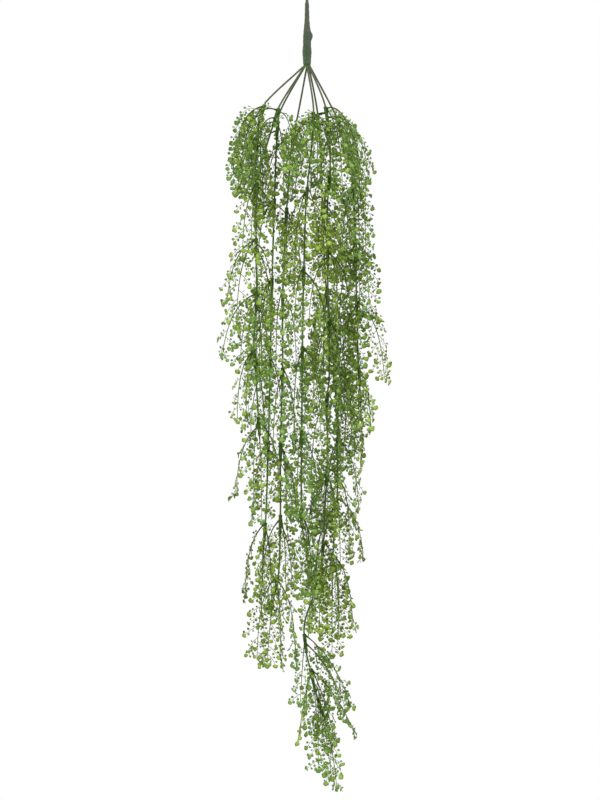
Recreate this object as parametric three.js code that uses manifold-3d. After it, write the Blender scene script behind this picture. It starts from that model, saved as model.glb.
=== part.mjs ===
// An artificial hanging maidenhair fern: a taped stem from which eight wires hang, each threaded
// through moulded plastic fronds. Millimetres, +Z up. The origin is the middle of the stem's cut
// top end, and the whole bunch hangs below it. X runs to the right and Y away from the viewer.
import * as THREE from 'three';
import { mergeVertices } from 'three/addons/utils/BufferGeometryUtils.js';
import Module from 'manifold-3d';

// ---- Driving dimensions -------------------------------------------------------------------

// Stem
const ROD_RADIUS = 2.1;
const ROD_END = -121;
const ROUND_SIDES = 10;
const FIT = 0.35; // clearance between pieces that touch
const PAST = 1; // how far a bore is cut past the face it opens at
const SLIVER = 0.03; // edges shorter than this close up where pieces are joined

// Wires
const WIRE_RADIUS = 1.1;
const WIRE_SIDES = 5;
const WIRE_TOP = -87; // where the wires start, under the tape's lump
const SPLIT = -127; // where they leave the tape
const RING_RADIUS = 3.65; // of the wires round the rod
const BOW_STEPS = 3; // wire points between the split and the first frond
const GAP_STEPS = 1; // wire points between two fronds

// Tapes: [radius, height] down the outside
const TAPE_TOP = -39;
const TAPE_STEP = -83; // above it the tape binds the rod alone, below it the wires as well
const TAPE_JOIN = -100;
const TAPE_OUTSIDE = [[3.0, TAPE_TOP], [3.5, -62], [5.7, -86], [5.8, TAPE_JOIN]];
const COLLAR_OUTSIDE = [[6.1, TAPE_JOIN - FIT], [6.7, -108], [6.0, -117], [5.6, -125]];
const LUMP_SIZE = [3.6, 3.6, 7];
const LUMP_PLACE = [5.0, 0, -85];

// Fronds
const SLEEVE_SIDES = 4;
const SLEEVE_RADIUS = 3.9;
const BORE_RADIUS = 2.1;
const SLEEVE_LENGTH = 27;
const SLEEVE_MARGIN = 3; // straight wire past each end of a sleeve
const TIP_BORE = 15; // how far the wire enters a closed tip
const TIP_SINK = 3; // how far inside the closed tip's end its own spray starts
const ROOT_RADIUS = 2.5; // where a spray starts, inside the sleeve's wall
const ROOT_DROP = 3; // first spray below the sleeve's top
const ROOT_PITCH = 6; // between the sprays of one frond
const BLADE = 0.9; // thickness
const RIB_HALF = 1.0;
const BASE_WIDTH = 2.6; // of a leaflet where it joins the rib
const LEAFLET_LENGTH = 26;
const LEAFLET_HALF = 0.32; // half width as a share of length
const SWEEP = rad(52); // between a leaflet and the rib
const FIRST_LEAFLET = 15;
const LEAFLET_PITCH = 22; // along the rib, to alternate sides
const END_LEAFLET = [[12, 6], [12, -6]]; // past the rib's end
const CUP = 3; // how far a spray's edges bend back
const HALF_SPREAD = 22; // of a whole spray

// How a spray hangs
const RIB_LENGTH = [86, 122];
const RIB_STEP = 2;
const HANG = rad(-91); // pitch that every rib ends at
const CROWN_PITCH = [rad(-14), rad(24)]; // first pitch of the sprays of each vine's first frond
const DROOP_PITCH = [rad(-46), rad(-18)]; // and of all others
const BEND_LENGTH = [28, 48];
const TAIL_TOP = -900; // fronds below this hang free of the bunch, and their sprays are straighter
const TAIL_STIFFNESS = 3;
const TIP_BEND = 90;
const TWIST = rad(64);

// Clear space between fronds
const CELL = 3;
const SAMPLE = 2.4;
const CLEAR_FROM = 9; // along the rib, past the frond's own wire
const TURNS = [0, 14, -14, 28, -28, 42, -42, 58, -58, 75, -75, 95, -95, 120, -120, 150, -150, 180];
const TWIST_TURNS = [0, 35, -35, 70, -70];
const LIFTS = [0, 12, -10];
const SHORTENINGS = [1, 0.84, 0.7];

// Each vine: the wire's route below the split, as points chosen by eye, and its fronds from the top
// down, as [height of the sleeve's top, spread, headings of its sprays]. Spread scales how far the
// sprays stand out. Heading 0 is +X and 90 is +Y.
const VINES = [
    {
        ring: 180,
        route: [[-60, -4, -181], [-67, -6, -202], [-70, -6, -235], [-71, -4, -262]],
        fronds: [[-182, 1, 180, 235, 125], [-218, 0.8, 205, 90, 300]],
    },
    {
        ring: 225,
        route: [[-38, -33, -186], [-46, -36, -210], [-57, -36, -245], [-65, -32, -272], [-70, -28, -305],
            [-71, -25, -385], [-70, -24, -459], [-74, -26, -514], [-70, -25, -580], [-64, -22, -680]],
        fronds: [[-190, 1, 215, 300, 160], [-285, 0.65, 250, 110, 20], [-370, 1.15, 180, 300, 60],
            [-445, 1.2, 190, 120, 280], [-525, 0.8, 185, 275, 60], [-618, 0.65, 250, 310, 150]],
    },
    {
        ring: 135,
        route: [[-38, 33, -188], [-42, 38, -215], [-46, 40, -315], [-50, 38, -455], [-53, 35, -595],
            [-56, 32, -707], [-60, 28, -791], [-68, 24, -860]],
        fronds: [[-200, 1, 140, 80, 200], [-310, 1, 160, 30], [-422, 1, 120, 220], [-535, 0.8, 60, 180],
            [-652, 0.7, 150, 250, 20], [-768, 0.75, 190, 290, 100]],
    },
    {
        ring: 90,
        route: [[-14, 46, -197], [-21, 40, -228], [-25, 24, -280], [-30, 6, -350], [-34, -8, -455],
            [-34, -16, -547], [-37, -18, -665], [-37, -16, -742], [-38, -12, -798], [-40, -8, -840],
            [-46, -6, -870], [-58, -6, -910]],
        fronds: [[-205, 1, 110, 60, 170], [-325, 0.9, 290, 90], [-440, 0.9, 250, 40],
            [-550, 0.8, 280, 190], [-655, 0.7, 230, 330], [-755, 0.7, 290, 170, 60],
            [-840, 0.9, 200, 320, 80]],
    },
    {
        ring: 270,
        route: [[9, -43, -193], [6, -47, -245], [-1, -47, -315], [-4, -44, -399], [-6, -42, -483],
            [-7, -38, -595], [-8, -34, -707], [-7, -30, -830]],
        fronds: [[-196, 1, 270, 225, 320], [-300, 1, 290, 200, 30], [-410, 1, 250, 340],
            [-520, 0.9, 310, 230, 90], [-635, 0.8, 260, 350, 150], [-745, 0.6, 230, 130]],
    },
    {
        ring: 45,
        route: [[15, 38, -189], [19, 42, -245], [22, 43, -315], [26, 42, -420], [36, 38, -520],
            [42, 34, -620], [43, 30, -720], [38, 28, -790], [36, 26, -840], [42, 22, -880],
            [60, 14, -925]],
        fronds: [[-192, 1, 70, 20, 120], [-315, 1, 40, 100], [-435, 1, 10, 130, 260],
            [-545, 1, 60, 345], [-648, 1, 0, 110, 240], [-732, 0.9, 350, 80, 200],
            [-812, 0.8, 330, 60, 160]],
    },
    {
        ring: 315,
        route: [[25, -36, -186], [31, -38, -230], [32, -34, -273], [28, -28, -330], [29, -22, -386],
            [29, -18, -444], [31, -14, -563], [27, -12, -600], [29, -12, -662], [25, -10, -749],
            [21, -10, -818], [9, -8, -868], [-3, -6, -905], [-3, -6, -938], [7, -4, -981],
            [13, -3, -1007], [24, -2, -1040], [36, 0, -1075]],
        fronds: [[-188, 1, 310, 265, 355], [-283, 0.8, 330, 240], [-382, 0.9, 290, 0, 180],
            [-482, 0.9, 270, 340], [-585, 1.1, 310, 5], [-688, 1, 10, 290, 200],
            [-792, 0.9, 350, 250], [-922, 0.8, 0, 250, 315], [-970, 0.7, 0, 245, 80],
            [-1012, 0.5, 270]],
    },
    {
        ring: 0,
        route: [[39, 4, -193], [50, 5, -217], [62, 6, -259], [66, 8, -298], [67, 8, -335],
            [68, 8, -385], [70, 8, -470], [72, 8, -539], [76, 8, -600]],
        fronds: [[-196, 0.9, 0, 50, 310], [-285, 0.6, 330, 90, 220], [-370, 0.6, 5, 290],
            [-455, 0.75, 340], [-545, 0.6, 270, 80]],
    },
];
const SPRAY_SEED = 7341;

// ---- Materials ------------------------------------------------------------------------------

const coatedSteel = new THREE.MeshStandardMaterial({ color: 0x2b2a26, roughness: 0.55, metalness: 0.1 });
const wireCoat = new THREE.MeshStandardMaterial({ color: 0x4a4c3a, roughness: 0.6 });
const oliveTape = new THREE.MeshStandardMaterial({ color: 0x4d5445, roughness: 0.75 });
const greenTape = new THREE.MeshStandardMaterial({ color: 0x3f5f4b, roughness: 0.75 });
const leafPlastic = new THREE.MeshStandardMaterial({ color: 0x5d8a3c, roughness: 0.5 });

// ---- Small helpers --------------------------------------------------------------------------

function rad(degrees) {
    return degrees * Math.PI / 180;
}

function mix(low, high, share) {
    return low + (high - low) * share;
}

function makeRandom(seed) {
    let state = seed;
    return () => {
        state = (Math.imul(state, 1664525) + 1013904223) >>> 0;
        return state / 4294967296;
    };
}

const wasm = await Module();
wasm.setup();

function toSolid(geometry) {
    const plain = geometry.index ? geometry.toNonIndexed() : geometry.clone();
    plain.deleteAttribute('normal');
    plain.deleteAttribute('uv');
    const merged = mergeVertices(plain, 1e-4);
    return new wasm.Manifold(new wasm.Mesh({
        numProp: 3,
        vertProperties: new Float32Array(merged.attributes.position.array),
        triVerts: new Uint32Array(merged.index.array),
    }));
}

// The solid's mesh, without the slivers that joining crossed pieces leaves.
function toGeometry(solid) {
    const mesh = solid.asOriginal().simplify(SLIVER).getMesh();
    const geometry = new THREE.BufferGeometry();
    geometry.setAttribute('position', new THREE.BufferAttribute(new Float32Array(mesh.vertProperties), 3));
    geometry.setIndex(new THREE.BufferAttribute(new Uint32Array(mesh.triVerts), 1));
    geometry.computeVertexNormals();
    return geometry;
}

function addPiece(name, geometry, material) {
    const mesh = new THREE.Mesh(geometry, material);
    mesh.name = name;
    fern.add(mesh);
}

const fern = new THREE.Group();

// ---- Stem: rod and tapes --------------------------------------------------------------------

function lathe(profile) {
    const points = profile.map(([radius, height]) => new THREE.Vector2(radius, height));
    const geometry = new THREE.LatheGeometry(points, ROUND_SIDES);
    return geometry.rotateX(Math.PI / 2);
}

// A closed band round the axis, from its bore's profile upward and its outside downward.
function band(bore, outside) {
    const ring = [...bore, ...outside].reverse();
    return lathe([...ring, ring[0]]);
}

function buildStem() {
    const rod = new THREE.CylinderGeometry(ROD_RADIUS, ROD_RADIUS, -ROD_END, ROUND_SIDES);
    rod.rotateX(Math.PI / 2).translate(0, 0, ROD_END / 2);
    addPiece('core_rod', rod, coatedSteel);

    const rodBore = ROD_RADIUS + FIT;
    const wireBore = (RING_RADIUS + WIRE_RADIUS + FIT) / Math.cos(Math.PI / ROUND_SIDES);
    const upper = toSolid(band(
        [[wireBore, TAPE_JOIN], [wireBore, TAPE_STEP - 1], [rodBore, TAPE_STEP], [rodBore, TAPE_TOP]],
        TAPE_OUTSIDE,
    ));
    const lump = new THREE.SphereGeometry(1, 6, 4).scale(...LUMP_SIZE).translate(...LUMP_PLACE);
    const depth = TAPE_STEP - TAPE_JOIN + 2 * PAST;
    const hollow = new THREE.CylinderGeometry(wireBore, wireBore, depth, ROUND_SIDES);
    hollow.rotateX(Math.PI / 2).translate(0, 0, TAPE_STEP + PAST - depth / 2);
    const lumpShell = toSolid(lump).subtract(toSolid(hollow));
    addPiece('tape_upper', toGeometry(upper.add(lumpShell)), oliveTape);

    const collar = band(
        [[wireBore, COLLAR_OUTSIDE.at(-1)[1]], [wireBore, COLLAR_OUTSIDE[0][1]]],
        COLLAR_OUTSIDE,
    );
    addPiece('tape_collar', toGeometry(toSolid(collar)), greenTape);
}

// ---- Vines ----------------------------------------------------------------------------------

// A smooth line through the route's points, worked out by height.
function vinePoint(route, height) {
    let k = 0;
    while (k < route.length - 2 && height < route[k + 1][2]) k += 1;
    const [from, to] = [route[k], route[k + 1]];
    const before = route[Math.max(k - 1, 0)];
    const after = route[Math.min(k + 2, route.length - 1)];
    const span = to[2] - from[2];
    const t = (height - from[2]) / span;
    const place = [0, 1].map((axis) => {
        const leave = (to[axis] - before[axis]) / (to[2] - before[2]) * span;
        const arrive = (after[axis] - from[axis]) / (after[2] - from[2]) * span;
        return (2 * t ** 3 - 3 * t ** 2 + 1) * from[axis] + (t ** 3 - 2 * t ** 2 + t) * leave
            + (3 * t ** 2 - 2 * t ** 3) * to[axis] + (t ** 3 - t ** 2) * arrive;
    });
    return new THREE.Vector3(place[0], place[1], height);
}

function ringPoint(vine, height) {
    const angle = rad(vine.ring);
    return new THREE.Vector3(RING_RADIUS * Math.cos(angle), RING_RADIUS * Math.sin(angle), height);
}

function fullRoute(vine) {
    const start = ringPoint(vine, SPLIT);
    return [[start.x, start.y, start.z], ...vine.route];
}

// The wire's points: down inside the tape, out to its first frond, then straight through each
// sleeve with a gentle bow between.
function wirePoints(vine) {
    const route = fullRoute(vine);
    const points = [ringPoint(vine, WIRE_TOP)];
    let height = SPLIT;
    vine.fronds.forEach(([top], index) => {
        const steps = index === 0 ? BOW_STEPS : GAP_STEPS;
        const next = top + SLEEVE_MARGIN;
        for (let k = index === 0 ? 0 : 1; k < steps; k += 1) {
            points.push(vinePoint(route, mix(height, next, k / steps)));
        }
        points.push(vinePoint(route, next));
        height = top - SLEEVE_LENGTH - SLEEVE_MARGIN;
        if (index < vine.fronds.length - 1) points.push(vinePoint(route, height));
    });
    const { head, along } = sleeveLine(vine, vine.fronds.at(-1)[0]);
    points.push(head.clone().addScaledVector(along, TIP_BORE));
    return points;
}

// A curve with a corner at every point, so that each step of a tube falls on one of them.
class Corners extends THREE.Curve {
    constructor(points) {
        super();
        this.points = points;
    }

    getPoint(t) {
        const place = t * (this.points.length - 1);
        const k = Math.min(Math.floor(place + 1e-9), this.points.length - 2);
        return this.points[k].clone().lerp(this.points[k + 1], place - k);
    }

    getPointAt(t) {
        return this.getPoint(t);
    }

    getTangentAt(t) {
        const k = Math.round(t * (this.points.length - 1));
        const before = this.points[Math.max(k - 1, 0)];
        const after = this.points[Math.min(k + 1, this.points.length - 1)];
        const here = this.points[k];
        const arriving = here.clone().sub(before).normalize();
        const leaving = after.clone().sub(here).normalize();
        return arriving.add(leaving).normalize();
    }
}

function buildWire(vine, name) {
    const section = new THREE.Shape();
    for (let k = 0; k < WIRE_SIDES; k += 1) {
        const angle = 2 * Math.PI * k / WIRE_SIDES;
        const [x, y] = [WIRE_RADIUS * Math.cos(angle), WIRE_RADIUS * Math.sin(angle)];
        if (k === 0) section.moveTo(x, y);
        else section.lineTo(x, y);
    }
    section.closePath();
    const path = new Corners(wirePoints(vine));
    const tube = new THREE.ExtrudeGeometry(section, {
        steps: path.points.length - 1,
        extrudePath: path,
        bevelEnabled: false,
    });
    addPiece(name, tube, wireCoat);
}

// The straight line of wire that a sleeve is threaded on.
function sleeveLine(vine, top) {
    const route = fullRoute(vine);
    const upper = vinePoint(route, top + SLEEVE_MARGIN);
    const lower = vinePoint(route, top - SLEEVE_LENGTH - SLEEVE_MARGIN);
    const along = lower.clone().sub(upper).normalize();
    const head = upper.clone().addScaledVector(along, SLEEVE_MARGIN);
    return { head, along };
}

// ---- Sprays ---------------------------------------------------------------------------------

function drawSpray(random, pitches, spread, stiffness) {
    return {
        length: mix(...RIB_LENGTH, random()),
        pitch: mix(HANG, mix(...pitches, random()), spread),
        bend: mix(...BEND_LENGTH, random()) * stiffness,
        twist: mix(-TWIST, TWIST, random()) * Math.min(spread, 1),
    };
}

// The spray at a vine's very end carries on the way its wire goes.
function drawTip(random, along) {
    return {
        ...drawSpray(random, DROOP_PITCH, 1, 1),
        pitch: Math.asin(along.z),
        bend: TIP_BEND,
    };
}

// The middle line of a spray as points with their frames: along the rib, across it and off it.
function hangRib(root, spray) {
    const stations = [];
    const place = root.clone();
    const count = Math.ceil((spray.length + END_LEAFLET[0][0]) / RIB_STEP) + 1;
    for (let k = 0; k <= count; k += 1) {
        const s = k * RIB_STEP;
        const pitch = HANG + (spray.pitch - HANG) * Math.exp(-s / spray.bend);
        const level = new THREE.Vector3(-Math.sin(spray.heading), Math.cos(spray.heading), 0);
        const along = new THREE.Vector3(
            Math.cos(pitch) * Math.cos(spray.heading),
            Math.cos(pitch) * Math.sin(spray.heading),
            Math.sin(pitch),
        );
        const upward = along.clone().cross(level);
        const across = level.multiplyScalar(Math.cos(spray.twist))
            .addScaledVector(upward, Math.sin(spray.twist));
        const off = along.clone().cross(across);
        stations.push({ place: place.clone(), along, across, off });
        place.addScaledVector(along, RIB_STEP);
    }
    return stations;
}

// A point of the spray's sheet, by distance along the rib and across it, and height off it.
function sheetPoint(stations, s, a, lift = 0) {
    const share = Math.max(s, 0) / RIB_STEP;
    const k = Math.min(Math.floor(share), stations.length - 2);
    const t = share - k;
    const [from, to] = [stations[k], stations[k + 1]];
    const blend = (part) => from[part].clone().lerp(to[part], t);
    const rise = lift - CUP * (a / HALF_SPREAD) ** 2;
    return blend('place').addScaledVector(blend('across'), a).addScaledVector(blend('off'), rise);
}

function leafletLength(share) {
    return LEAFLET_LENGTH * (0.6 + 0.4 * Math.sin(Math.PI * (0.16 + 0.72 * share)));
}

// The corners of one leaflet's outer edge, on the side given as 1 or -1.
function leafletCorners(start, side, length) {
    const half = length * LEAFLET_HALF;
    const s = start + BASE_WIDTH / 2 + length * Math.cos(SWEEP);
    const a = RIB_HALF + length * Math.sin(SWEEP);
    return [
        [s - half * Math.sin(SWEEP), side * (a + half * Math.cos(SWEEP))],
        [s + half * Math.sin(SWEEP), side * (a - half * Math.cos(SWEEP))],
    ];
}

// Where leaflets leave the rib: the even ones on the left, the odd ones on the right.
function leafletStarts(length, side) {
    const room = length - FIRST_LEAFLET - BASE_WIDTH;
    const count = Math.round(room / LEAFLET_PITCH);
    const starts = [];
    for (let k = side > 0 ? 0 : 1; k < count; k += 2) starts.push(FIRST_LEAFLET + k * room / count);
    return starts;
}

// One spray as a flat pattern: points [along, across], triangles, and the rim in turn.
function sprayPattern(length) {
    const points = [];
    const triangles = [];
    const addPoint = (s, a) => points.push([s, a]) - 1;
    const edges = [-1, 1].map((side) => {
        const chain = [addPoint(0, side * RIB_HALF)];
        const rim = [chain[0]];
        for (const start of leafletStarts(length, side)) {
            const share = (start - FIRST_LEAFLET) / (length - FIRST_LEAFLET);
            const near = addPoint(start, side * RIB_HALF);
            const outer = leafletCorners(start, side, leafletLength(share))
                .map((corner) => addPoint(...corner));
            const far = addPoint(start + BASE_WIDTH, side * RIB_HALF);
            chain.push(near, far);
            rim.push(near, ...outer, far);
            triangles.push(side < 0 ? [near, outer[0], outer[1]] : [near, outer[1], outer[0]]);
            triangles.push(side < 0 ? [near, outer[1], far] : [near, far, outer[1]]);
        }
        const end = addPoint(length, side * RIB_HALF);
        chain.push(end);
        rim.push(end);
        return { chain, rim };
    });
    const [right, left] = edges;
    let [i, j] = [0, 0];
    while (i < right.chain.length - 1 || j < left.chain.length - 1) {
        const nextRight = right.chain[i + 1];
        const nextLeft = left.chain[j + 1];
        const stepRight = nextLeft === undefined
            || (nextRight !== undefined && points[nextRight][0] <= points[nextLeft][0]);
        if (stepRight) {
            triangles.push([right.chain[i], nextRight, left.chain[j]]);
            i += 1;
        } else {
            triangles.push([right.chain[i], nextLeft, left.chain[j]]);
            j += 1;
        }
    }
    const end = END_LEAFLET.map(([s, a]) => addPoint(length + s, -a));
    const [rightEnd, leftEnd] = [right.chain.at(-1), left.chain.at(-1)];
    triangles.push([rightEnd, end[0], end[1]], [rightEnd, end[1], leftEnd]);
    return { points, triangles, rim: [...right.rim, ...end, ...left.rim.reverse()] };
}

function spraySolid(stations, length) {
    const { points, triangles, rim } = sprayPattern(length);
    const count = points.length;
    const vertices = [];
    for (const lift of [BLADE / 2, -BLADE / 2]) {
        for (const [s, a] of points) vertices.push(...sheetPoint(stations, s, a, lift).toArray());
    }
    const index = [];
    for (const [a, b, c] of triangles) {
        index.push(a, b, c, c + count, b + count, a + count);
    }
    rim.forEach((a, k) => {
        const b = rim[(k + 1) % rim.length];
        index.push(a, a + count, b + count, a, b + count, b);
    });
    const geometry = new THREE.BufferGeometry();
    geometry.setAttribute('position', new THREE.BufferAttribute(new Float32Array(vertices), 3));
    geometry.setIndex(index);
    return toSolid(geometry);
}

// ---- Bending clear --------------------------------------------------------------------------

const taken = new Set();

function cellKey(x, y, z) {
    return `${Math.floor(x)},${Math.floor(y)},${Math.floor(z)}`;
}

function take(points) {
    for (const point of points) {
        for (let dx = -1; dx <= 1; dx += 1) {
            for (let dy = -1; dy <= 1; dy += 1) {
                for (let dz = -1; dz <= 1; dz += 1) {
                    taken.add(cellKey(point.x / CELL + dx, point.y / CELL + dy, point.z / CELL + dz));
                }
            }
        }
    }
}

// Points all over a spray: down its rib, and in rows across each leaflet.
function spraySamples(stations, length) {
    const samples = [];
    const reach = length + END_LEAFLET[0][0];
    for (let s = CLEAR_FROM; s <= reach; s += SAMPLE) samples.push(sheetPoint(stations, s, 0));
    for (const side of [-1, 1]) {
        for (const start of leafletStarts(length, side)) {
            const long = leafletLength((start - FIRST_LEAFLET) / (length - FIRST_LEAFLET));
            const [rear, front] = leafletCorners(start, side, long);
            const rows = Math.ceil(long / SAMPLE);
            for (let r = 1; r <= rows; r += 1) {
                const across = Math.ceil(2 * long * LEAFLET_HALF * r / rows / SAMPLE);
                for (let c = 0; c <= across; c += 1) {
                    const s = mix(start, mix(rear[0], front[0], c / across), r / rows);
                    const a = mix(side * RIB_HALF, mix(rear[1], front[1], c / across), r / rows);
                    samples.push(sheetPoint(stations, s, a));
                }
            }
        }
    }
    return samples;
}

function isClear(samples) {
    return samples.every((p) => !taken.has(cellKey(p.x / CELL, p.y / CELL, p.z / CELL)));
}

// The first way of hanging a spray, out of turned, twisted and shortened ones, that stays clear.
function hangClear(rootAt, spray, heading) {
    for (const shorter of SHORTENINGS) {
        for (const turn of TURNS) {
            for (const lift of LIFTS) {
                for (const twistTurn of TWIST_TURNS) {
                    const tried = {
                        ...spray,
                        length: spray.length * shorter,
                        heading: rad(heading + turn),
                        pitch: spray.pitch + rad(lift),
                        twist: spray.twist + rad(twistTurn),
                    };
                    const stations = hangRib(rootAt(tried.heading), tried);
                    const samples = spraySamples(stations, tried.length);
                    if (isClear(samples)) return { stations, samples, length: tried.length };
                }
            }
        }
    }
    return null;
}

// ---- Fronds ---------------------------------------------------------------------------------

function cylinderAlong(start, along, length, radius) {
    const turn = new THREE.Quaternion().setFromUnitVectors(new THREE.Vector3(0, 1, 0), along);
    const middle = start.clone().addScaledVector(along, length / 2);
    const cylinder = new THREE.CylinderGeometry(radius, radius, length, SLEEVE_SIDES);
    return cylinder.applyQuaternion(turn).translate(middle.x, middle.y, middle.z);
}

function placeFrond(vine, row, random) {
    const [top, spread, ...headings] = row;
    const isLast = row === vine.fronds.at(-1);
    const pitches = row === vine.fronds[0] ? CROWN_PITCH : DROOP_PITCH;
    const stiffness = top < TAIL_TOP ? TAIL_STIFFNESS : 1;
    const { head, along } = sleeveLine(vine, top);
    const sprays = [];
    const hang = (rootAt, spray, heading) => {
        const hung = hangClear(rootAt, spray, heading);
        if (!hung) return;
        sprays.push(hung);
        take(hung.samples);
    };
    if (isLast) {
        const end = head.clone().addScaledVector(along, SLEEVE_LENGTH - TIP_SINK);
        const onward = Math.atan2(along.y, along.x) * 180 / Math.PI;
        hang(() => end, drawTip(random, along), onward);
    }
    headings.forEach((heading, k) => {
        const drop = ROOT_DROP + ROOT_PITCH * k;
        const rootAt = (angle) => head.clone().addScaledVector(along, drop)
            .add(new THREE.Vector3(Math.cos(angle), Math.sin(angle), 0).multiplyScalar(ROOT_RADIUS));
        hang(rootAt, drawSpray(random, pitches, spread, stiffness), heading);
    });
    return { head, along, sprays, isLast };
}

function buildFrond({ head, along, sprays, isLast }, name) {
    const sleeve = toSolid(cylinderAlong(head, along, SLEEVE_LENGTH, SLEEVE_RADIUS));
    const boreStart = head.clone().addScaledVector(along, -PAST);
    const boreLength = (isLast ? TIP_BORE : SLEEVE_LENGTH) + 2 * PAST;
    const bore = toSolid(cylinderAlong(boreStart, along, boreLength, BORE_RADIUS));
    let frond = sleeve.subtract(bore);
    for (const { stations, length } of sprays) frond = frond.add(spraySolid(stations, length));
    addPiece(name, toGeometry(frond), leafPlastic);
}

// ---- The whole bunch ------------------------------------------------------------------------

buildStem();
const random = makeRandom(SPRAY_SEED);
VINES.forEach((vine, v) => {
    buildWire(vine, `wire_${v + 1}`);
    const points = wirePoints(vine);
    const line = new THREE.CurvePath();
    for (let k = 1; k < points.length; k += 1) line.add(new THREE.LineCurve3(points[k - 1], points[k]));
    take(line.getSpacedPoints(Math.ceil(line.getLength() / SAMPLE)));
});
VINES.forEach((vine, v) => {
    vine.fronds.forEach((row, f) => buildFrond(placeFrond(vine, row, random), `frond_${v + 1}_${f + 1}`));
});

export default fern;
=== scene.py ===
"""An artificial maidenhair fern that hangs by a taped stem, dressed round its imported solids.

Eight coated wires leave the stem, and each is threaded through the sleeves of moulded plastic
fronds. The routes, the fronds and the way their sprays hang are the same as the solids', in
millimetres, and each mesh is scaled to metres when it is made. Z is up, and the viewer looks
along +Y.
"""

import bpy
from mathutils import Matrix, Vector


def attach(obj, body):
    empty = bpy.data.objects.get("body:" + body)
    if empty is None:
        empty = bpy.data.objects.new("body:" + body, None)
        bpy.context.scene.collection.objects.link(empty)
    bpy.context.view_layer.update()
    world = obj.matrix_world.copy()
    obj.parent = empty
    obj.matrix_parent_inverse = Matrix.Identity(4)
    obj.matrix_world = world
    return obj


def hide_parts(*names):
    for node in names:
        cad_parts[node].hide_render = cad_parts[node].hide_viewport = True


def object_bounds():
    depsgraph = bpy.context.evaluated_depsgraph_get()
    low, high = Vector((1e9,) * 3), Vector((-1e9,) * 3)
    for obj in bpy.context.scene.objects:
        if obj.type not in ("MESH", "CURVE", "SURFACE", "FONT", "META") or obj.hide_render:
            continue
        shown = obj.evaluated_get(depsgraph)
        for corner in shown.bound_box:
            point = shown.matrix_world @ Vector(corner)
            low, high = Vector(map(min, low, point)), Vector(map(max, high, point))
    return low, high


bl_info = {
    "name": "Hanging Maidenhair Fern",
    "version": (1, 0, 0),
    "blender": (4, 5, 0),
    "location": "View3D > Sidebar > Fern",
    "description": "Dresses the hanging fern with its leaves, stalks, sleeves, wires and tapes",
    "category": "Object",
}

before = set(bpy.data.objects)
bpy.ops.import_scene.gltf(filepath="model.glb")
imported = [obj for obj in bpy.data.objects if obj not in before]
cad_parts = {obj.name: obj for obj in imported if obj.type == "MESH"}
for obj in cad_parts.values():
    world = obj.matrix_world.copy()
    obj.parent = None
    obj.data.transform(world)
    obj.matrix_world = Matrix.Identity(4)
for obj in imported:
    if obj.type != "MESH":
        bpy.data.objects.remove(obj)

import math

import bpy
import numpy as np

SOLID_BOX = [list(corner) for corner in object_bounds()]
MM = 0.001


# ---- The bunch, as the solids have it (millimetres) ---------------------------------------------

ROD_RADIUS = 2.1
ROD_END = -121
WIRE_TOP = -87
SPLIT = -127
RING_RADIUS = 3.65
BOW_STEPS = 3
GAP_STEPS = 1
TAPE_TOP = -39
TAPE_STEP = -83
TAPE_JOIN = -100
FIT = 0.35
TAPE_OUTSIDE = [[3.0, TAPE_TOP], [3.5, -62], [5.7, -86], [5.8, TAPE_JOIN]]
COLLAR_OUTSIDE = [[6.1, TAPE_JOIN - FIT], [6.7, -108], [6.0, -117], [5.6, -125]]
LUMP_HEIGHT = -85

SLEEVE_LENGTH = 27
SLEEVE_MARGIN = 3
TIP_BORE = 15
TIP_SINK = 3
ROOT_RADIUS = 2.5
ROOT_DROP = 3
ROOT_PITCH = 6
RIB_HALF = 1.0
BASE_WIDTH = 2.6
LEAFLET_LENGTH = 26
LEAFLET_HALF = 0.32
SWEEP = math.radians(52)
FIRST_LEAFLET = 15
LEAFLET_PITCH = 22
END_REACH = 12
CUP = 3
HALF_SPREAD = 22
EVEN_LEAFLET = 0.6  # the share of a leaflet's length that doesn't follow the arc
ARC_START, ARC_SPAN = 0.16, 0.72  # the part of a half wave that the rest follows

RIB_LENGTH = (86, 122)
RIB_STEP = 2
HANG = math.radians(-91)
CROWN_PITCH = (math.radians(-14), math.radians(24))
DROOP_PITCH = (math.radians(-46), math.radians(-18))
BEND_LENGTH = (28, 48)
TAIL_TOP = -900
TAIL_STIFFNESS = 3
TAIL_OPENNESS = 1.2
TIP_BEND = 90
TWIST = math.radians(64)

CELL = 3
SAMPLE = 2.4
CLEAR_FROM = 9
TURNS = (0, 14, -14, 28, -28, 42, -42, 58, -58, 75, -75, 95, -95, 120, -120, 150, -150, 180)
TWIST_TURNS = (0, 35, -35, 70, -70)
LIFTS = (0, 12, -10)
SHORTENINGS = (1, 0.84, 0.7)

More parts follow.
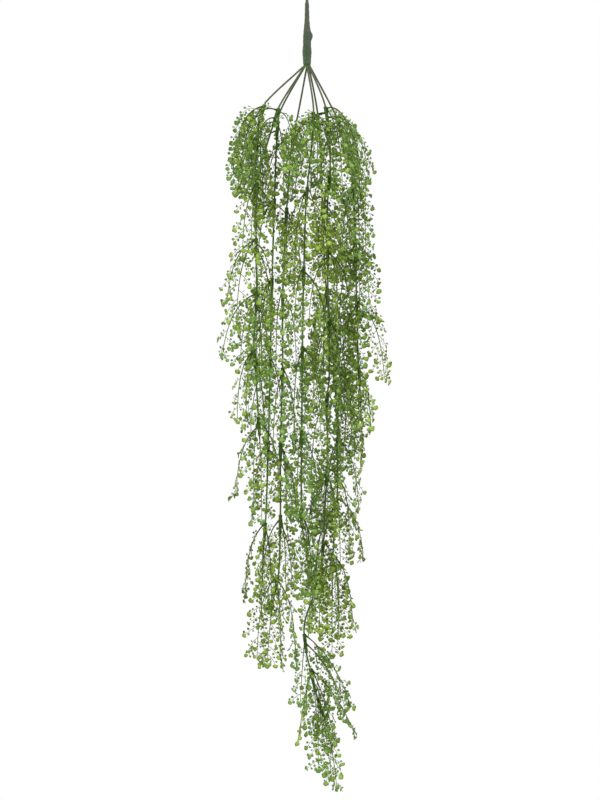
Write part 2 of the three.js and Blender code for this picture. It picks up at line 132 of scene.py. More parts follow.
# Each vine: its wire's angle in the stem, the share of its sprays that have a partner beside
# them, how wide apart its side stalks stand, how blue its green is, the wire's route below the
# split, and its fronds from the top down. A frond's row is the height of its sleeve's top, how
# far its sprays spread, and their headings.
VINE_KEYS = ("ring", "fullness", "openness", "coolness", "route", "fronds")
VINES = [dict(zip(VINE_KEYS, row)) for row in (
    (180, 0.4, 1.0, 0.7,
     [[-60, -4, -181], [-67, -6, -202], [-70, -6, -235], [-71, -4, -262]],
     [[-182, 1, 180, 235, 125], [-218, 0.8, 205, 90, 300]]),
    (225, 0.1, 1.5, 0.35,
     [[-38, -33, -186], [-46, -36, -210], [-57, -36, -245], [-65, -32, -272], [-70, -28, -305],
      [-71, -25, -385], [-70, -24, -459], [-74, -26, -514], [-70, -25, -580], [-64, -22, -680]],
     [[-190, 1, 215, 300, 160], [-285, 0.65, 250, 110, 20], [-370, 1.15, 180, 300, 60],
      [-445, 1.2, 190, 120, 280], [-525, 0.8, 185, 275, 60], [-618, 0.65, 250, 310, 150]]),
    (135, 0.2, 1.3, 0.35,
     [[-38, 33, -188], [-42, 38, -215], [-46, 40, -315], [-50, 38, -455], [-53, 35, -595],
      [-56, 32, -707], [-60, 28, -791], [-68, 24, -860]],
     [[-200, 1, 140, 80, 200], [-310, 1, 160, 30], [-422, 1, 120, 220], [-535, 0.8, 60, 180],
      [-652, 0.7, 150, 250, 20], [-768, 0.75, 190, 290, 100]]),
    (90, 0.4, 1.05, 0.4,
     [[-14, 46, -197], [-21, 40, -228], [-25, 24, -280], [-30, 6, -350], [-34, -8, -455],
      [-34, -16, -547], [-37, -18, -665], [-37, -16, -742], [-38, -12, -798], [-40, -8, -840],
      [-46, -6, -870], [-58, -6, -910]],
     [[-205, 1, 110, 60, 170], [-325, 0.9, 290, 90], [-440, 0.9, 250, 40], [-550, 0.8, 280, 190],
      [-655, 0.7, 230, 330], [-755, 0.7, 290, 170, 60], [-840, 0.9, 200, 320, 80]]),
    (270, 0.4, 1.0, 0.45,
     [[9, -43, -193], [6, -47, -245], [-1, -47, -315], [-4, -44, -399], [-6, -42, -483],
      [-7, -38, -595], [-8, -34, -707], [-7, -30, -830]],
     [[-196, 1, 270, 225, 320], [-300, 1, 290, 200, 30], [-410, 1, 250, 340],
      [-520, 0.9, 310, 230, 90], [-635, 0.8, 260, 350, 150], [-745, 0.6, 230, 130]]),
    (45, 0.5, 1.0, 0.42,
     [[15, 38, -189], [19, 42, -245], [22, 43, -315], [26, 42, -420], [36, 38, -520],
      [42, 34, -620], [43, 30, -720], [38, 28, -790], [36, 26, -840], [42, 22, -880],
      [60, 14, -925]],
     [[-192, 1, 70, 20, 120], [-315, 1, 40, 100], [-435, 1, 10, 130, 260], [-545, 1, 60, 345],
      [-648, 1, 0, 110, 240], [-732, 0.9, 350, 80, 200], [-812, 0.8, 330, 60, 160]]),
    (315, 0.6, 1.0, 0.55,
     [[25, -36, -186], [31, -38, -230], [32, -34, -273], [28, -28, -330], [29, -22, -386],
      [29, -18, -444], [31, -14, -563], [27, -12, -600], [29, -12, -662], [25, -10, -749],
      [21, -10, -818], [9, -8, -868], [-3, -6, -905], [-3, -6, -938], [7, -4, -981],
      [13, -3, -1007], [24, -2, -1040], [36, 0, -1075]],
     [[-188, 1, 310, 265, 355], [-283, 0.8, 330, 240], [-382, 0.9, 290, 0, 180],
      [-482, 0.9, 270, 340], [-585, 1.1, 310, 5], [-688, 1, 10, 290, 200], [-792, 0.9, 350, 250],
      [-922, 0.8, 0, 250, 315], [-970, 0.7, 0, 245, 80], [-1012, 0.5, 270]]),
    (0, 0.3, 1.0, 0.5,
     [[39, 4, -193], [50, 5, -217], [62, 6, -259], [66, 8, -298], [67, 8, -335], [68, 8, -385],
      [70, 8, -470], [72, 8, -539], [76, 8, -600]],
     [[-196, 0.9, 0, 50, 310], [-285, 0.6, 330, 90, 220], [-370, 0.6, 5, 290], [-455, 0.75, 340],
      [-545, 0.6, 270, 80]]),
)]
SPRAY_SEED = 7341
CROWN_COOLNESS = 0.4  # added in each vine's first frond

# How much of a vine's fullness counts at each height
THINNING = ((-880, 0.3), (-780, 0), (-580, 0), (-420, 1.0), (-320, 1.0), (-180, 0.4))

# Headings of the clump sprays that some fronds have as well, mostly to hide their wire
CLUMPS = {
    "frond_1_1": (190,), "frond_2_3": (190,), "frond_5_4": (340,),
    "frond_6_3": (340, 20), "frond_6_4": (350,), "frond_6_5": (200,), "frond_6_6": (190,),
    "frond_7_1": (330,), "frond_7_4": (200, 350), "frond_7_5": (190,), "frond_7_7": (205, 250),
    "frond_8_3": (180,), "frond_8_4": (190, 250), "frond_8_5": (200,),
}


def mix(low, high, share):
    return low + (high - low) * share


def make_random(seed):
    """Draws from 0 to 1, the same as the solids' own."""
    factor, step, states = 1664525, 1013904223, 2 ** 32
    state = seed

    def draw():
        nonlocal state
        state = (state * factor + step) % states
        return state / states

    return draw


def unit(vectors):
    return vectors / np.linalg.norm(vectors, axis=-1, keepdims=True)


def vine_point(route, height):
    """A smooth line through the route's points, worked out by height."""
    k = 0
    while k < len(route) - 2 and height < route[k + 1][2]:
        k += 1
    start, end = route[k], route[k + 1]
    before = route[max(k - 1, 0)]
    after = route[min(k + 2, len(route) - 1)]
    span = end[2] - start[2]
    t = (height - start[2]) / span
    place = []
    for axis in (0, 1):
        leave = (end[axis] - before[axis]) / (end[2] - before[2]) * span
        arrive = (after[axis] - start[axis]) / (after[2] - start[2]) * span
        place.append((2 * t ** 3 - 3 * t ** 2 + 1) * start[axis] + (t ** 3 - 2 * t ** 2 + t) * leave
                     + (3 * t ** 2 - 2 * t ** 3) * end[axis] + (t ** 3 - t ** 2) * arrive)
    return np.array([*place, height])


def ring_point(vine, height):
    angle = math.radians(vine["ring"])
    return np.array([RING_RADIUS * math.cos(angle), RING_RADIUS * math.sin(angle), height])


def full_route(vine):
    return [list(ring_point(vine, SPLIT)), *vine["route"]]


def sleeve_line(vine, top):
    """The start and direction of the straight line of wire that a sleeve is threaded on."""
    route = full_route(vine)
    upper = vine_point(route, top + SLEEVE_MARGIN)
    lower = vine_point(route, top - SLEEVE_LENGTH - SLEEVE_MARGIN)
    along = unit(lower - upper)
    return upper + along * SLEEVE_MARGIN, along


def wire_points(vine, inside, count_steps):
    """The wire's points: at heights inside the tape, then in steps from sleeve to sleeve."""
    route, height = full_route(vine), SPLIT
    points = [ring_point(vine, top) for top in inside]
    for index, (top, *_) in enumerate(vine["fronds"]):
        following = top + SLEEVE_MARGIN
        steps = count_steps(index, height - following)
        points += [vine_point(route, mix(height, following, k / steps)) for k in range(steps + 1)]
        height = top - SLEEVE_LENGTH - SLEEVE_MARGIN
    head, along = sleeve_line(vine, vine["fronds"][-1][0])
    return np.array([*points, head + along * TIP_BORE])


def wire_corners(vine):
    """The corners of the solid wire."""
    return wire_points(vine, [WIRE_TOP], lambda index, _: GAP_STEPS if index else BOW_STEPS)


def hang_rib(root, spray):
    """A spray's middle line: its places, and the directions along, across and off it."""
    count = math.ceil((spray["length"] + END_REACH) / RIB_STEP) + 1
    s = np.arange(count + 1) * RIB_STEP
    pitch = HANG + (spray["pitch"] - HANG) * np.exp(-s / spray["bend"])
    heading = spray["heading"]
    level = np.array([-math.sin(heading), math.cos(heading), 0.0])
    along = np.stack([np.cos(pitch) * math.cos(heading), np.cos(pitch) * math.sin(heading),
                      np.sin(pitch)], 1)
    upward = np.cross(along, level)
    across = level * math.cos(spray["twist"]) + upward * math.sin(spray["twist"])
    off = np.cross(along, across)
    place = np.cumsum(np.vstack([root, RIB_STEP * along[:-1]]), axis=0)
    return {"place": place, "along": along, "across": across, "off": off}


def between(stations, s):
    """The stations' place and directions at distances s along the rib."""
    share = np.maximum(s, 0) / RIB_STEP
    k = np.minimum(np.floor(share).astype(int), len(stations["place"]) - 2)
    t = (share - k)[..., None]
    return {part: rows[k] + (rows[k + 1] - rows[k]) * t for part, rows in stations.items()}


def sheet_point(stations, s, a, lift=0.0):
    """Points of the spray's sheet, by distance along the rib and across it, and height off it."""
    at = between(stations, s)
    rise = lift - CUP * (a / HALF_SPREAD) ** 2
    return at["place"] + at["across"] * a[..., None] + at["off"] * rise[..., None]


def leaflet_length(share):
    arc = math.sin(math.pi * (ARC_START + ARC_SPAN * share))
    return LEAFLET_LENGTH * mix(EVEN_LEAFLET, 1, arc)


def leaflet_starts(length, side):
    room = length - FIRST_LEAFLET - BASE_WIDTH
    count = math.floor(room / LEAFLET_PITCH + 0.5)
    return [FIRST_LEAFLET + k * room / count for k in range(0 if side > 0 else 1, count, 2)]


def leaflet_corners(start, side, length):
    half = length * LEAFLET_HALF
    s = start + BASE_WIDTH / 2 + length * math.cos(SWEEP)
    a = RIB_HALF + length * math.sin(SWEEP)
    return [[s - half * math.sin(SWEEP), side * (a + half * math.cos(SWEEP))],
            [s + half * math.sin(SWEEP), side * (a - half * math.cos(SWEEP))]]


def sheet_samples(length):
    """Distances along and across a spray's sheet of points all over its solid leaflets."""
    samples = []
    s = CLEAR_FROM
    while s <= length + END_REACH:
        samples.append((s, 0.0))
        s += SAMPLE
    for side in (-1, 1):
        for start in leaflet_starts(length, side):
            long = leaflet_length((start - FIRST_LEAFLET) / (length - FIRST_LEAFLET))
            rear, front = leaflet_corners(start, side, long)
            rows = math.ceil(long / SAMPLE)
            for r in range(1, rows + 1):
                steps = math.ceil(2 * long * LEAFLET_HALF * r / rows / SAMPLE)
                for c in range(steps + 1):
                    share = c / steps
                    samples.append((mix(start, mix(rear[0], front[0], share), r / rows),
                                    mix(side * RIB_HALF, mix(rear[1], front[1], share), r / rows)))
    return np.array(samples).T


class Space:
    """The cells of space that hang already holds, round the whole bunch."""

    LOWEST = np.array([-80, -80, -450])
    COUNTS = (160, 160, 460)

    def __init__(self):
        self.taken = np.zeros(self.COUNTS, bool)

    def cells(self, points):
        return (np.floor(points / CELL).astype(int) - self.LOWEST).T

    def take(self, points):
        x, y, z = self.cells(points)
        for dx in (-1, 0, 1):
            for dy in (-1, 0, 1):
                for dz in (-1, 0, 1):
                    self.taken[x + dx, y + dy, z + dz] = True

    def is_clear(self, points):
        return not self.taken[tuple(self.cells(points))].any()


def take_wire(space, vine):
    """Takes the wire's cells at equal distances along it."""
    corners = wire_corners(vine)
    ends = np.cumsum(np.linalg.norm(np.diff(corners, axis=0), axis=1))
    steps = math.ceil(ends[-1] / SAMPLE)
    reached = np.arange(steps + 1) / steps * ends[-1]
    starts = np.concatenate([[0.0], ends])
    space.take(np.stack([np.interp(reached, starts, corners[:, axis]) for axis in range(3)], 1))


def hang_clear(space, root_at, spray, heading):
    """The first way of hanging a spray, out of turned, twisted and shorter ones, that is clear."""
    for shorter in SHORTENINGS:
        length = spray["length"] * shorter
        s, a = sheet_samples(length)
        for turn in TURNS:
            angle = math.radians(heading + turn)
            root = root_at(angle)
            for lift in LIFTS:
                for twist_turn in TWIST_TURNS:
                    tried = {**spray, "length": length, "heading": angle,
                             "pitch": spray["pitch"] + math.radians(lift),
                             "twist": spray["twist"] + math.radians(twist_turn)}
                    samples = sheet_point(hang_rib(root, tried), s, a)
                    if space.is_clear(samples):
                        space.take(samples)
                        return {"root": root, **tried}
    return None


def draw_spray(random, pitches, spread, stiffness):
    length = mix(*RIB_LENGTH, random())
    pitch = mix(HANG, mix(*pitches, random()), spread)
    bend = mix(*BEND_LENGTH, random()) * stiffness
    twist = mix(-TWIST, TWIST, random()) * min(spread, 1)
    return {"length": length, "pitch": pitch, "bend": bend, "twist": twist}


def place_frond(space, vine, row, random):
    """One frond's sleeve and the sprays that hang from it."""
    top, spread, *headings = row
    is_last = row is vine["fronds"][-1]
    pitches = CROWN_PITCH if row is vine["fronds"][0] else DROOP_PITCH
    stiffness = TAIL_STIFFNESS if top < TAIL_TOP else 1
    head, along = sleeve_line(vine, top)
    sprays = []

    def hang(root_at, spray, heading):
        hung = hang_clear(space, root_at, spray, heading)
        if hung:
            sprays.append(hung)

    if is_last:
        end = head + along * (SLEEVE_LENGTH - TIP_SINK)
        onward = math.degrees(math.atan2(along[1], along[0]))
        tip = draw_spray(random, DROOP_PITCH, 1, 1)
        tip.update(pitch=math.asin(along[2]), bend=TIP_BEND)
        hang(lambda angle: end, tip, onward)
    for k, heading in enumerate(headings):
        centre = head + along * (ROOT_DROP + ROOT_PITCH * k)

        def root_at(angle, centre=centre):
            return centre + ROOT_RADIUS * np.array([math.cos(angle), math.sin(angle), 0.0])

        hang(root_at, draw_spray(random, pitches, spread, stiffness), heading)
    return {"head": head, "along": along, "sprays": sprays, "is_last": is_last,
            "is_crown": pitches is CROWN_PITCH,
            "openness": vine["openness"] * (TAIL_OPENNESS if stiffness > 1 else 1),
            "coolness": vine["coolness"] + (CROWN_COOLNESS if pitches is CROWN_PITCH else 0),
            "fullness": vine["fullness"] * np.interp(top, *zip(*THINNING))}


def place_fronds():
    """All fronds by node name, hung in the same order as the solids."""
    space = Space()
    for vine in VINES:
        take_wire(space, vine)
    random = make_random(SPRAY_SEED)
    fronds = {}
    for v, vine in enumerate(VINES, 1):
        for f, row in enumerate(vine["fronds"], 1):
            fronds[f"frond_{v}_{f}"] = place_frond(space, vine, row, random)
    return fronds


# ---- Meshes -------------------------------------------------------------------------------------

# Edges sharper than this, in degrees, are shaded as edges
CREASE = 48
TAPE_CREASE = 70


class Parts:
    """The corners and faces of one piece, gathered before its mesh is made.

    Materials read each corner's look and spot. A leaf's look is (tone, ripeness, coolness), a
    stalk's (tone, share along, coolness), a tape's (turn, share of the turn, depth), and a wire's
    is its depth. The spot is a leaf's (angle as a share of the fan's, radius).
    """

    def __init__(self):
        self.corners, self.faces, self.slots = [], [], []
        self.looks, self.spots = [], []
        self.count = 0

    def add(self, corners, faces, slot, look=(0.0, 0.0, 0.0), spot=(0.0, 0.0, 0.0)):
        corners = np.asarray(corners, float).reshape(-1, 3)
        faces = np.asarray(faces, int).reshape(-1, 3)
        self.corners.append(corners)
        self.faces.append(faces + self.count)
        self.slots.append(np.full(len(faces), slot))
        self.looks.append(np.broadcast_to(look, corners.shape))
        self.spots.append(np.broadcast_to(spot, corners.shape))
        self.count += len(corners)


def add_object(name, data, place=(0, 0, 0), turn=(0, 0, 0)):
    thing = bpy.data.objects.new(name, data)
    thing.location, thing.rotation_euler = place, turn
    bpy.context.scene.collection.objects.link(thing)
    return thing


def make_piece(name, parts, materials, node, crease=CREASE):
    """The piece that stands for a CAD node, as one mesh in metres."""
    corners = np.concatenate(parts.corners) * MM
    faces = np.concatenate(parts.faces)
    mesh = bpy.data.meshes.new(name)
    mesh.vertices.add(len(corners))
    mesh.vertices.foreach_set("co", corners.ravel())
    mesh.loops.add(faces.size)
    mesh.loops.foreach_set("vertex_index", faces.ravel())
    mesh.polygons.add(len(faces))
    mesh.polygons.foreach_set("loop_start", np.arange(0, faces.size, 3))
    mesh.polygons.foreach_set("material_index", np.concatenate(parts.slots))
    mesh.polygons.foreach_set("use_smooth", np.ones(len(faces), bool))
    for label, rows in (("look", parts.looks), ("spot", parts.spots)):
        attribute = mesh.attributes.new(label, "FLOAT_VECTOR", "POINT")
        attribute.data.foreach_set("vector", np.concatenate(rows).ravel())
    mesh.update(calc_edges=True)
    mesh.set_sharp_from_angle(angle=math.radians(crease))
    for material in materials:
        mesh.materials.append(material)
    piece = add_object(name, mesh)
    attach(piece, "root")
    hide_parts(node)


def grid_faces(rows, columns, closed):
    """Triangles between rows that run round, joining the last row to the first if closed."""
    quads = []
    for k in range(rows if closed else rows - 1):
        low, high = k * columns, (k + 1) % rows * columns
        for j in range(columns):
            after = (j + 1) % columns
            quads += [[low + j, low + after, high + after], [low + j, high + after, high + j]]
    return quads


def tube_faces(rows, columns):
    """Triangles of a tube with flat ends."""
    last = (rows - 1) * columns
    caps = []
    for j in range(1, columns - 1):
        caps += [[0, j + 1, j], [last, last + j, last + j + 1]]
    return np.array(grid_faces(rows, columns, False) + caps)


def tubes(points, radii, normals, sides):
    """Corners and faces of many alike tubes: points are (tube, row, 3), radii (tube, row)."""
    ahead = unit(np.gradient(points, axis=1))
    side = unit(np.cross(ahead, normals))
    other = np.cross(ahead, side)
    angles = 2 * np.pi * np.arange(sides)[:, None] / sides
    ring = side[:, :, None] * np.cos(angles) + other[:, :, None] * np.sin(angles)
    corners = points[:, :, None] + ring * radii[:, :, None, None]
    count, rows = points.shape[:2]
    offsets = np.arange(count)[:, None, None] * rows * sides
    return corners.reshape(-1, 3), (tube_faces(rows, sides)[None] + offsets).reshape(-1, 3)


def lathe_along(parts, head, along, profile, columns, slot, closed):
    """A turned shape about a line: profile rows are (radius, distance along the line)."""
    side = unit(np.cross(along, [1.0, 0.0, 0.0]))
    other = np.cross(along, side)
    angles = 2 * np.pi * np.arange(columns)[:, None] / columns
    ring = side * np.cos(angles) + other * np.sin(angles)
    profile = np.asarray(profile, float)[:, :, None, None]
    corners = head + along * profile[:, 1] + ring * profile[:, 0]
    faces = grid_faces(len(profile), columns, True) if closed else tube_faces(len(profile), columns)
    parts.add(corners, faces, slot)


# ---- Leaves -------------------------------------------------------------------------------------

# Places of a frond's three materials
LEAF_SLOT, STALK_SLOT, SLEEVE_SLOT = 0, 1, 2

# A spray's rib
RIB_SIDES = 6
RIB_SPACING = 3.5
RIB_PAST = 2.0  # into the sleeve, and past the solid's rib
RIB_TAPER = 0.45
ROOT_SWELL, SWELL_REACH = 0.7, 5

# Its side stalks, with angles in degrees
FIRST_STALK, LAST_STALK = 9.0, 4  # from the rib's root, and before its end
FEWEST_STALKS = 4
STALK_STRAY = 0.25  # of the pitch
EVEN_STALK = 0.62
STALK_REACH = (0.8, 1.1)
STALK_SWEEP = (46, 68)
STALK_BEND = (2, 36)
STALK_LIFT = 2.8
STALK_SIDES, STALK_STEPS = 4, 5
STALK_TAPER = 0.62
STALK_GREEN = 0.4  # how far along a rib's colours a side stalk starts

# The leaves: where small ones grow along a stalk, how they stand, and each one's size and
# look. Growth and ripeness are what a leaf has at the root, and what it gains towards the end.
LEAF_NODES = np.array([0.22, 0.38, 0.54, 0.71, 0.88])
NODE_STRAY = 0.04
LEAF_SPLAY = (36, 66)
LEAF_TILT = 0.22
LEAF_ROLL, LEAF_DROOP, DROOP_STRAY = math.radians(26), math.radians(6), math.radians(16)
LEAF_STALK_REACH = (1.5, 2.5)
LEAF_SINK = 0.5  # of a leaf's stalk into the leaf
FAN_SINK = 0.4  # of a fan leaf over its stalk's end
SMALL_SIZES, SMALL_GROWTH = (0.76, 1.16), (0.86, 0.28)
FAN_SIZES = (0.8, 1.12)
TONES = (0.1, 0.86)  # of whole sprays
SMALL_TONE, FAN_TONE = (-0.04, 0.22), (0.04, 0.2)
SMALL_RIPENESS, FAN_RIPENESS = (0.08, 0.45), (0.45, 0.35)
SMALL_RIPE_STRAY, FAN_RIPE_STRAY = (0, 0.3), (-0.15, 0.25)
END_RIPENESS = 0.8
SPRAY_COOL_STRAY = 0.26
FAN_COOLNESS = 0.7  # as a share of the spray's

# The three leaves at a rib's end: where they leave it, their angles, and their sizes
END_STARTS = np.array([-1.0, -1.0, 1.6])
END_ANGLES, END_STRAY = np.radians([48, -48, 0]), 0.12
END_STALKS = np.array([[2.0], [2.0], [0.0]])
END_SIZES = np.array([0.8, 0.8, 1.0])


class LeafShape:
    """One round fan of a leaf, a unit long from its stalk, as a thin closed blade.

    The fan opens half_angle to each side, and its sides are shoulder as long as its middle. Its
    surface is cupped across and curled along, with small lobes round the rim.
    """

    ROUNDNESS = 0.8

    def __init__(self, half_angle, shoulder, rows, columns, lobes, cup, curl, thickness):
        angles = np.linspace(-half_angle, half_angle, columns + 1)
        corners, spots = [[0.0, 0.0, 0.0]], [[0.0, 0.0, 0.0]]
        for radius in rows:
            for j, angle in enumerate(angles):
                turn = angle / half_angle
                reach = radius * mix(shoulder, 1, math.cos(turn * math.pi / 2) ** self.ROUNDNESS)
                reach *= 1 + (lobes[j % len(lobes)] if radius == 1 else 0)
                x, y = reach * math.sin(angle), reach * math.cos(angle)
                corners.append([x, y, cup * x * x - curl * y * y])
                spots.append([turn, radius, 0.0])
        flat = [[0, 1 + j + 1, 1 + j] for j in range(columns)]
        across = columns + 1
        for i in range(len(rows) - 1):
            for j in range(columns):
                a = 1 + i * across + j
                b, c, d = a + 1, a + across + 1, a + across
                flat += [[a, b, c], [a, c, d]]
        rim = [0] + [1 + i * across + columns for i in range(len(rows))]
        rim += [1 + (len(rows) - 1) * across + j for j in range(columns - 1, -1, -1)]
        rim += [1 + i * across for i in range(len(rows) - 2, -1, -1)]
        top = np.array(corners)
        n = len(top)
        faces = flat + [[a + n, c + n, b + n] for a, b, c in flat]
        for k, u in enumerate(rim):
            v = rim[(k + 1) % len(rim)]
            faces += [[u, u + n, v + n], [u, v + n, v]]
        half = np.array([0.0, 0.0, thickness / 2])
        self.corners = np.concatenate([top + half, top - half])
        self.faces = np.array(faces)
        self.spots = np.array(spots + spots)

    def place(self, parts, base, ahead, normal, sizes, looks):
        """Puts one copy at each base, pointing ahead, with its top towards normal."""
        side = unit(np.cross(ahead, normal))
        top = np.cross(side, ahead)
        local = self.corners
        corners = (side[:, None] * local[:, 0, None] + ahead[:, None] * local[:, 1, None]
                   + top[:, None] * local[:, 2, None]) * sizes[:, None, None]
        n = len(local)
        faces = self.faces + np.arange(len(base))[:, None, None] * n
        parts.add(base[:, None] + corners, faces, LEAF_SLOT, np.repeat(looks, n, axis=0),
                  np.tile(self.spots, (len(base), 1)))


# Half angle, shoulder, rows, columns, lobes, cup, curl and thickness of each shape
FAN_SHAPES = [
    LeafShape(math.radians(58), 0.60, (0.55, 1), 7, (0.0, 0.06, -0.04), 0.5, 0.08, 0.07),
    LeafShape(math.radians(50), 0.66, (0.55, 1), 7, (0.03, -0.05, 0.05), -0.4, 0.16, 0.07),
    LeafShape(math.radians(64), 0.58, (0.55, 1), 7, (-0.03, 0.05, 0.0), 0.7, -0.04, 0.07),
]
ROUND_SHAPES = [
    LeafShape(math.radians(46), 0.60, (0.6, 1), 4, (0.0, 0.05), 0.5, 0.05, 0.1),
    LeafShape(math.radians(40), 0.64, (0.6, 1), 4, (0.04, -0.04), -0.4, 0.14, 0.1),
]


def turned(vectors, axes, angles):
    """Vectors turned about unit axes by angles."""
    cos, sin = np.cos(angles)[:, None], np.sin(angles)[:, None]
    along = (vectors * axes).sum(1, keepdims=True)
    return vectors * cos + np.cross(axes, vectors) * sin + axes * along * (1 - cos)


def blend_rows(rows, share):
    """Values at shares (0 to 1) along rows of evenly spaced vectors, one row of shares each."""
    reached = share * (rows.shape[1] - 1)
    low = np.minimum(reached.astype(int), rows.shape[1] - 2)
    part = (reached - low)[..., None]
    line = np.arange(len(rows))[:, None]
    return rows[line, low] * (1 - part) + rows[line, low + 1] * part


def put_leaves(parts, shapes, base, ahead, normal, sizes, looks, rng):
    """Leaves of mixed shapes, each rolled and drooping a little its own way."""
    count = len(base)
    normal = turned(normal, ahead, rng.normal(0, LEAF_ROLL, count))
    side = unit(np.cross(ahead, normal))
    droop = rng.normal(LEAF_DROOP, DROOP_STRAY, count)
    ahead, normal = turned(ahead, side, -droop), turned(normal, side, -droop)
    kind = rng.integers(len(shapes), size=count)
    for k, shape in enumerate(shapes):
        chosen = kind == k
        if chosen.any():
            shape.place(parts, base[chosen], ahead[chosen], normal[chosen], sizes[chosen],
                        looks[chosen])


def add_leaf_stalks(parts, root, end, normals, look, sizes):
    """The short stalks between the side stalks and their leaves."""
    width = sizes.leaf_stalk_width / MM / 2
    radii = np.tile([width, 0.8 * width], (len(root), 1))
    corners, faces = tubes(np.stack([root, end], 1), radii, np.stack([normals, normals], 1), 3)
    parts.add(corners, faces, STALK_SLOT, look)


def look_rows(tone, ripeness, coolness):
    """The look of each leaf: light or dark, green or yellow, and warm or bluish."""
    rows = np.stack(np.broadcast_arrays(tone, ripeness, coolness), -1)
    return rows.reshape(-1, 3).clip(0, 1)


def dress_spray(parts, spray, openness, sag, coolness, sizes, rng):
    """A spray's rib, its side stalks and their leaves, over the solid spray's sheet.

    Openness widens the pitch of the side stalks, and sag is how far they bend down from the sheet
    under their own weight.
    """
    stations, length = hang_rib(spray["root"], spray), spray["length"]
    tone = rng.uniform(*TONES)
    coolness = np.clip(coolness + rng.normal(0, SPRAY_COOL_STRAY), 0, 1)
    small_leaf, fan_leaf = sizes.small_leaf / MM, sizes.fan_leaf / MM
    stalk_look = (tone, END_RIPENESS, coolness)

    # the rib
    s = np.concatenate([[-RIB_PAST], np.arange(0, length + RIB_PAST, RIB_SPACING),
                        [length + RIB_PAST]])
    at = between(stations, s)
    places = at["place"] + at["along"] * np.minimum(s, 0)[:, None]
    share = s.clip(0) / length
    radii = sizes.rib_width / MM / 2 * (1 - RIB_TAPER * share)
    radii = radii + ROOT_SWELL * np.exp(-s.clip(0) / SWELL_REACH)
    corners, faces = tubes(places[None], radii[None], at["off"][None], RIB_SIDES)
    looks = look_rows(tone, np.repeat(share, RIB_SIDES), coolness)
    parts.add(corners, faces, STALK_SLOT, looks)

    # the side stalks: where they leave, how far they reach and how they curve
    first, last = FIRST_STALK, length - LAST_STALK
    pitch = openness * sizes.stalk_pitch / MM / 2
    count = max(round((last - first) / pitch), FEWEST_STALKS)
    k = np.arange(count)
    stray = rng.uniform(-STALK_STRAY, STALK_STRAY, count)
    starts = first + (k + stray) * (last - first) / (count - 1)
    side = np.where(k % 2 == 0, 1.0, -1.0)[:, None]
    share = ((starts - first) / (last - first)).clip(0, 1)[:, None]
    arc = np.sin(np.pi * (ARC_START + ARC_SPAN * share))
    reach = sizes.stalk_length / MM * mix(EVEN_STALK, 1, arc)
    reach = reach * rng.uniform(*STALK_REACH, (count, 1))
    sweep = np.radians(rng.uniform(*STALK_SWEEP, (count, 1)))
    bend = np.radians(rng.uniform(*STALK_BEND, (count, 1)))
    lift = rng.normal(0, STALK_LIFT, (count, 1))
    q = np.linspace(0, 1, STALK_STEPS + 1)
    middle = (q[1:] + q[:-1]) / 2
    turn = sweep - bend * middle
    zero = np.zeros((count, 1))
    step = reach / STALK_STEPS
    ahead = starts[:, None] + step * np.hstack([zero, np.cumsum(np.cos(turn), 1)])
    aside = side * step * np.hstack([zero, np.cumsum(np.sin(turn), 1)])
    points = sheet_point(stations, ahead, aside, lift * q ** 2)
    links = np.diff(points, axis=1)
    lengths = np.linalg.norm(links, axis=2, keepdims=True)
    links = unit(links / lengths + np.array([0, 0, -sag]) * middle[:, None]) * lengths
    points = np.cumsum(np.concatenate([points[:, :1], links], 1), 1)
    normals = between(stations, ahead)["off"]
    directions = unit(np.gradient(points, axis=1))
    taper = np.linspace(1.0, STALK_TAPER, STALK_STEPS + 1)
    radii = np.tile(sizes.stalk_width / MM / 2 * taper, (count, 1))
    corners, faces = tubes(points, radii, normals, STALK_SIDES)
    green = np.tile(np.repeat(STALK_GREEN + (1 - STALK_GREEN) * q, STALK_SIDES), (count, 1))
    parts.add(corners, faces, STALK_SLOT, look_rows(tone, green, coolness))

    # the small leaves beside each stalk, on short stalks of their own
    each = len(LEAF_NODES)
    nodes = LEAF_NODES + rng.uniform(-NODE_STRAY, NODE_STRAY, (count, each))
    root = blend_rows(points, nodes).reshape(-1, 3)
    off = unit(blend_rows(normals, nodes)).reshape(-1, 3)
    onward = unit(blend_rows(directions, nodes)).reshape(-1, 3)
    flip = np.where(np.arange(each) % 2 == 0, 1.0, -1.0) * rng.choice([-1, 1], (count, 1))
    splay = np.radians(rng.uniform(*LEAF_SPLAY, (count, each))) * flip
    off = unit(np.cross(np.cross(onward, off), onward))
    ahead = turned(onward, off, splay.ravel())
    ahead = unit(ahead + off * rng.normal(0, LEAF_TILT, (len(ahead), 1)))
    base = root + ahead * rng.uniform(*LEAF_STALK_REACH, (len(ahead), 1))
    add_leaf_stalks(parts, root, base + ahead * LEAF_SINK, off, stalk_look, sizes)
    least, gained = SMALL_GROWTH
    small = small_leaf * rng.uniform(*SMALL_SIZES, (count, each)) * (least + gained * nodes)
    tones = tone + rng.normal(*SMALL_TONE, (count, each))
    least, gained = SMALL_RIPENESS
    ripeness = least + gained * nodes * share + rng.uniform(*SMALL_RIPE_STRAY, (count, each))
    put_leaves(parts, ROUND_SHAPES, base, ahead, off, small.ravel(),
               look_rows(tones, ripeness, coolness), rng)

    # the large leaf at each stalk's end
    onward = directions[:, -1]
    off = unit(np.cross(np.cross(onward, normals[:, -1]), onward))
    large = fan_leaf * rng.uniform(*FAN_SIZES, count)
    tones = tone + rng.normal(*FAN_TONE, count)
    least, gained = FAN_RIPENESS
    ripeness = least + gained * share[:, 0] + rng.uniform(*FAN_RIPE_STRAY, count)
    put_leaves(parts, FAN_SHAPES, points[:, -1] - onward * FAN_SINK, onward, off, large,
               look_rows(tones, ripeness, coolness * FAN_COOLNESS), rng)

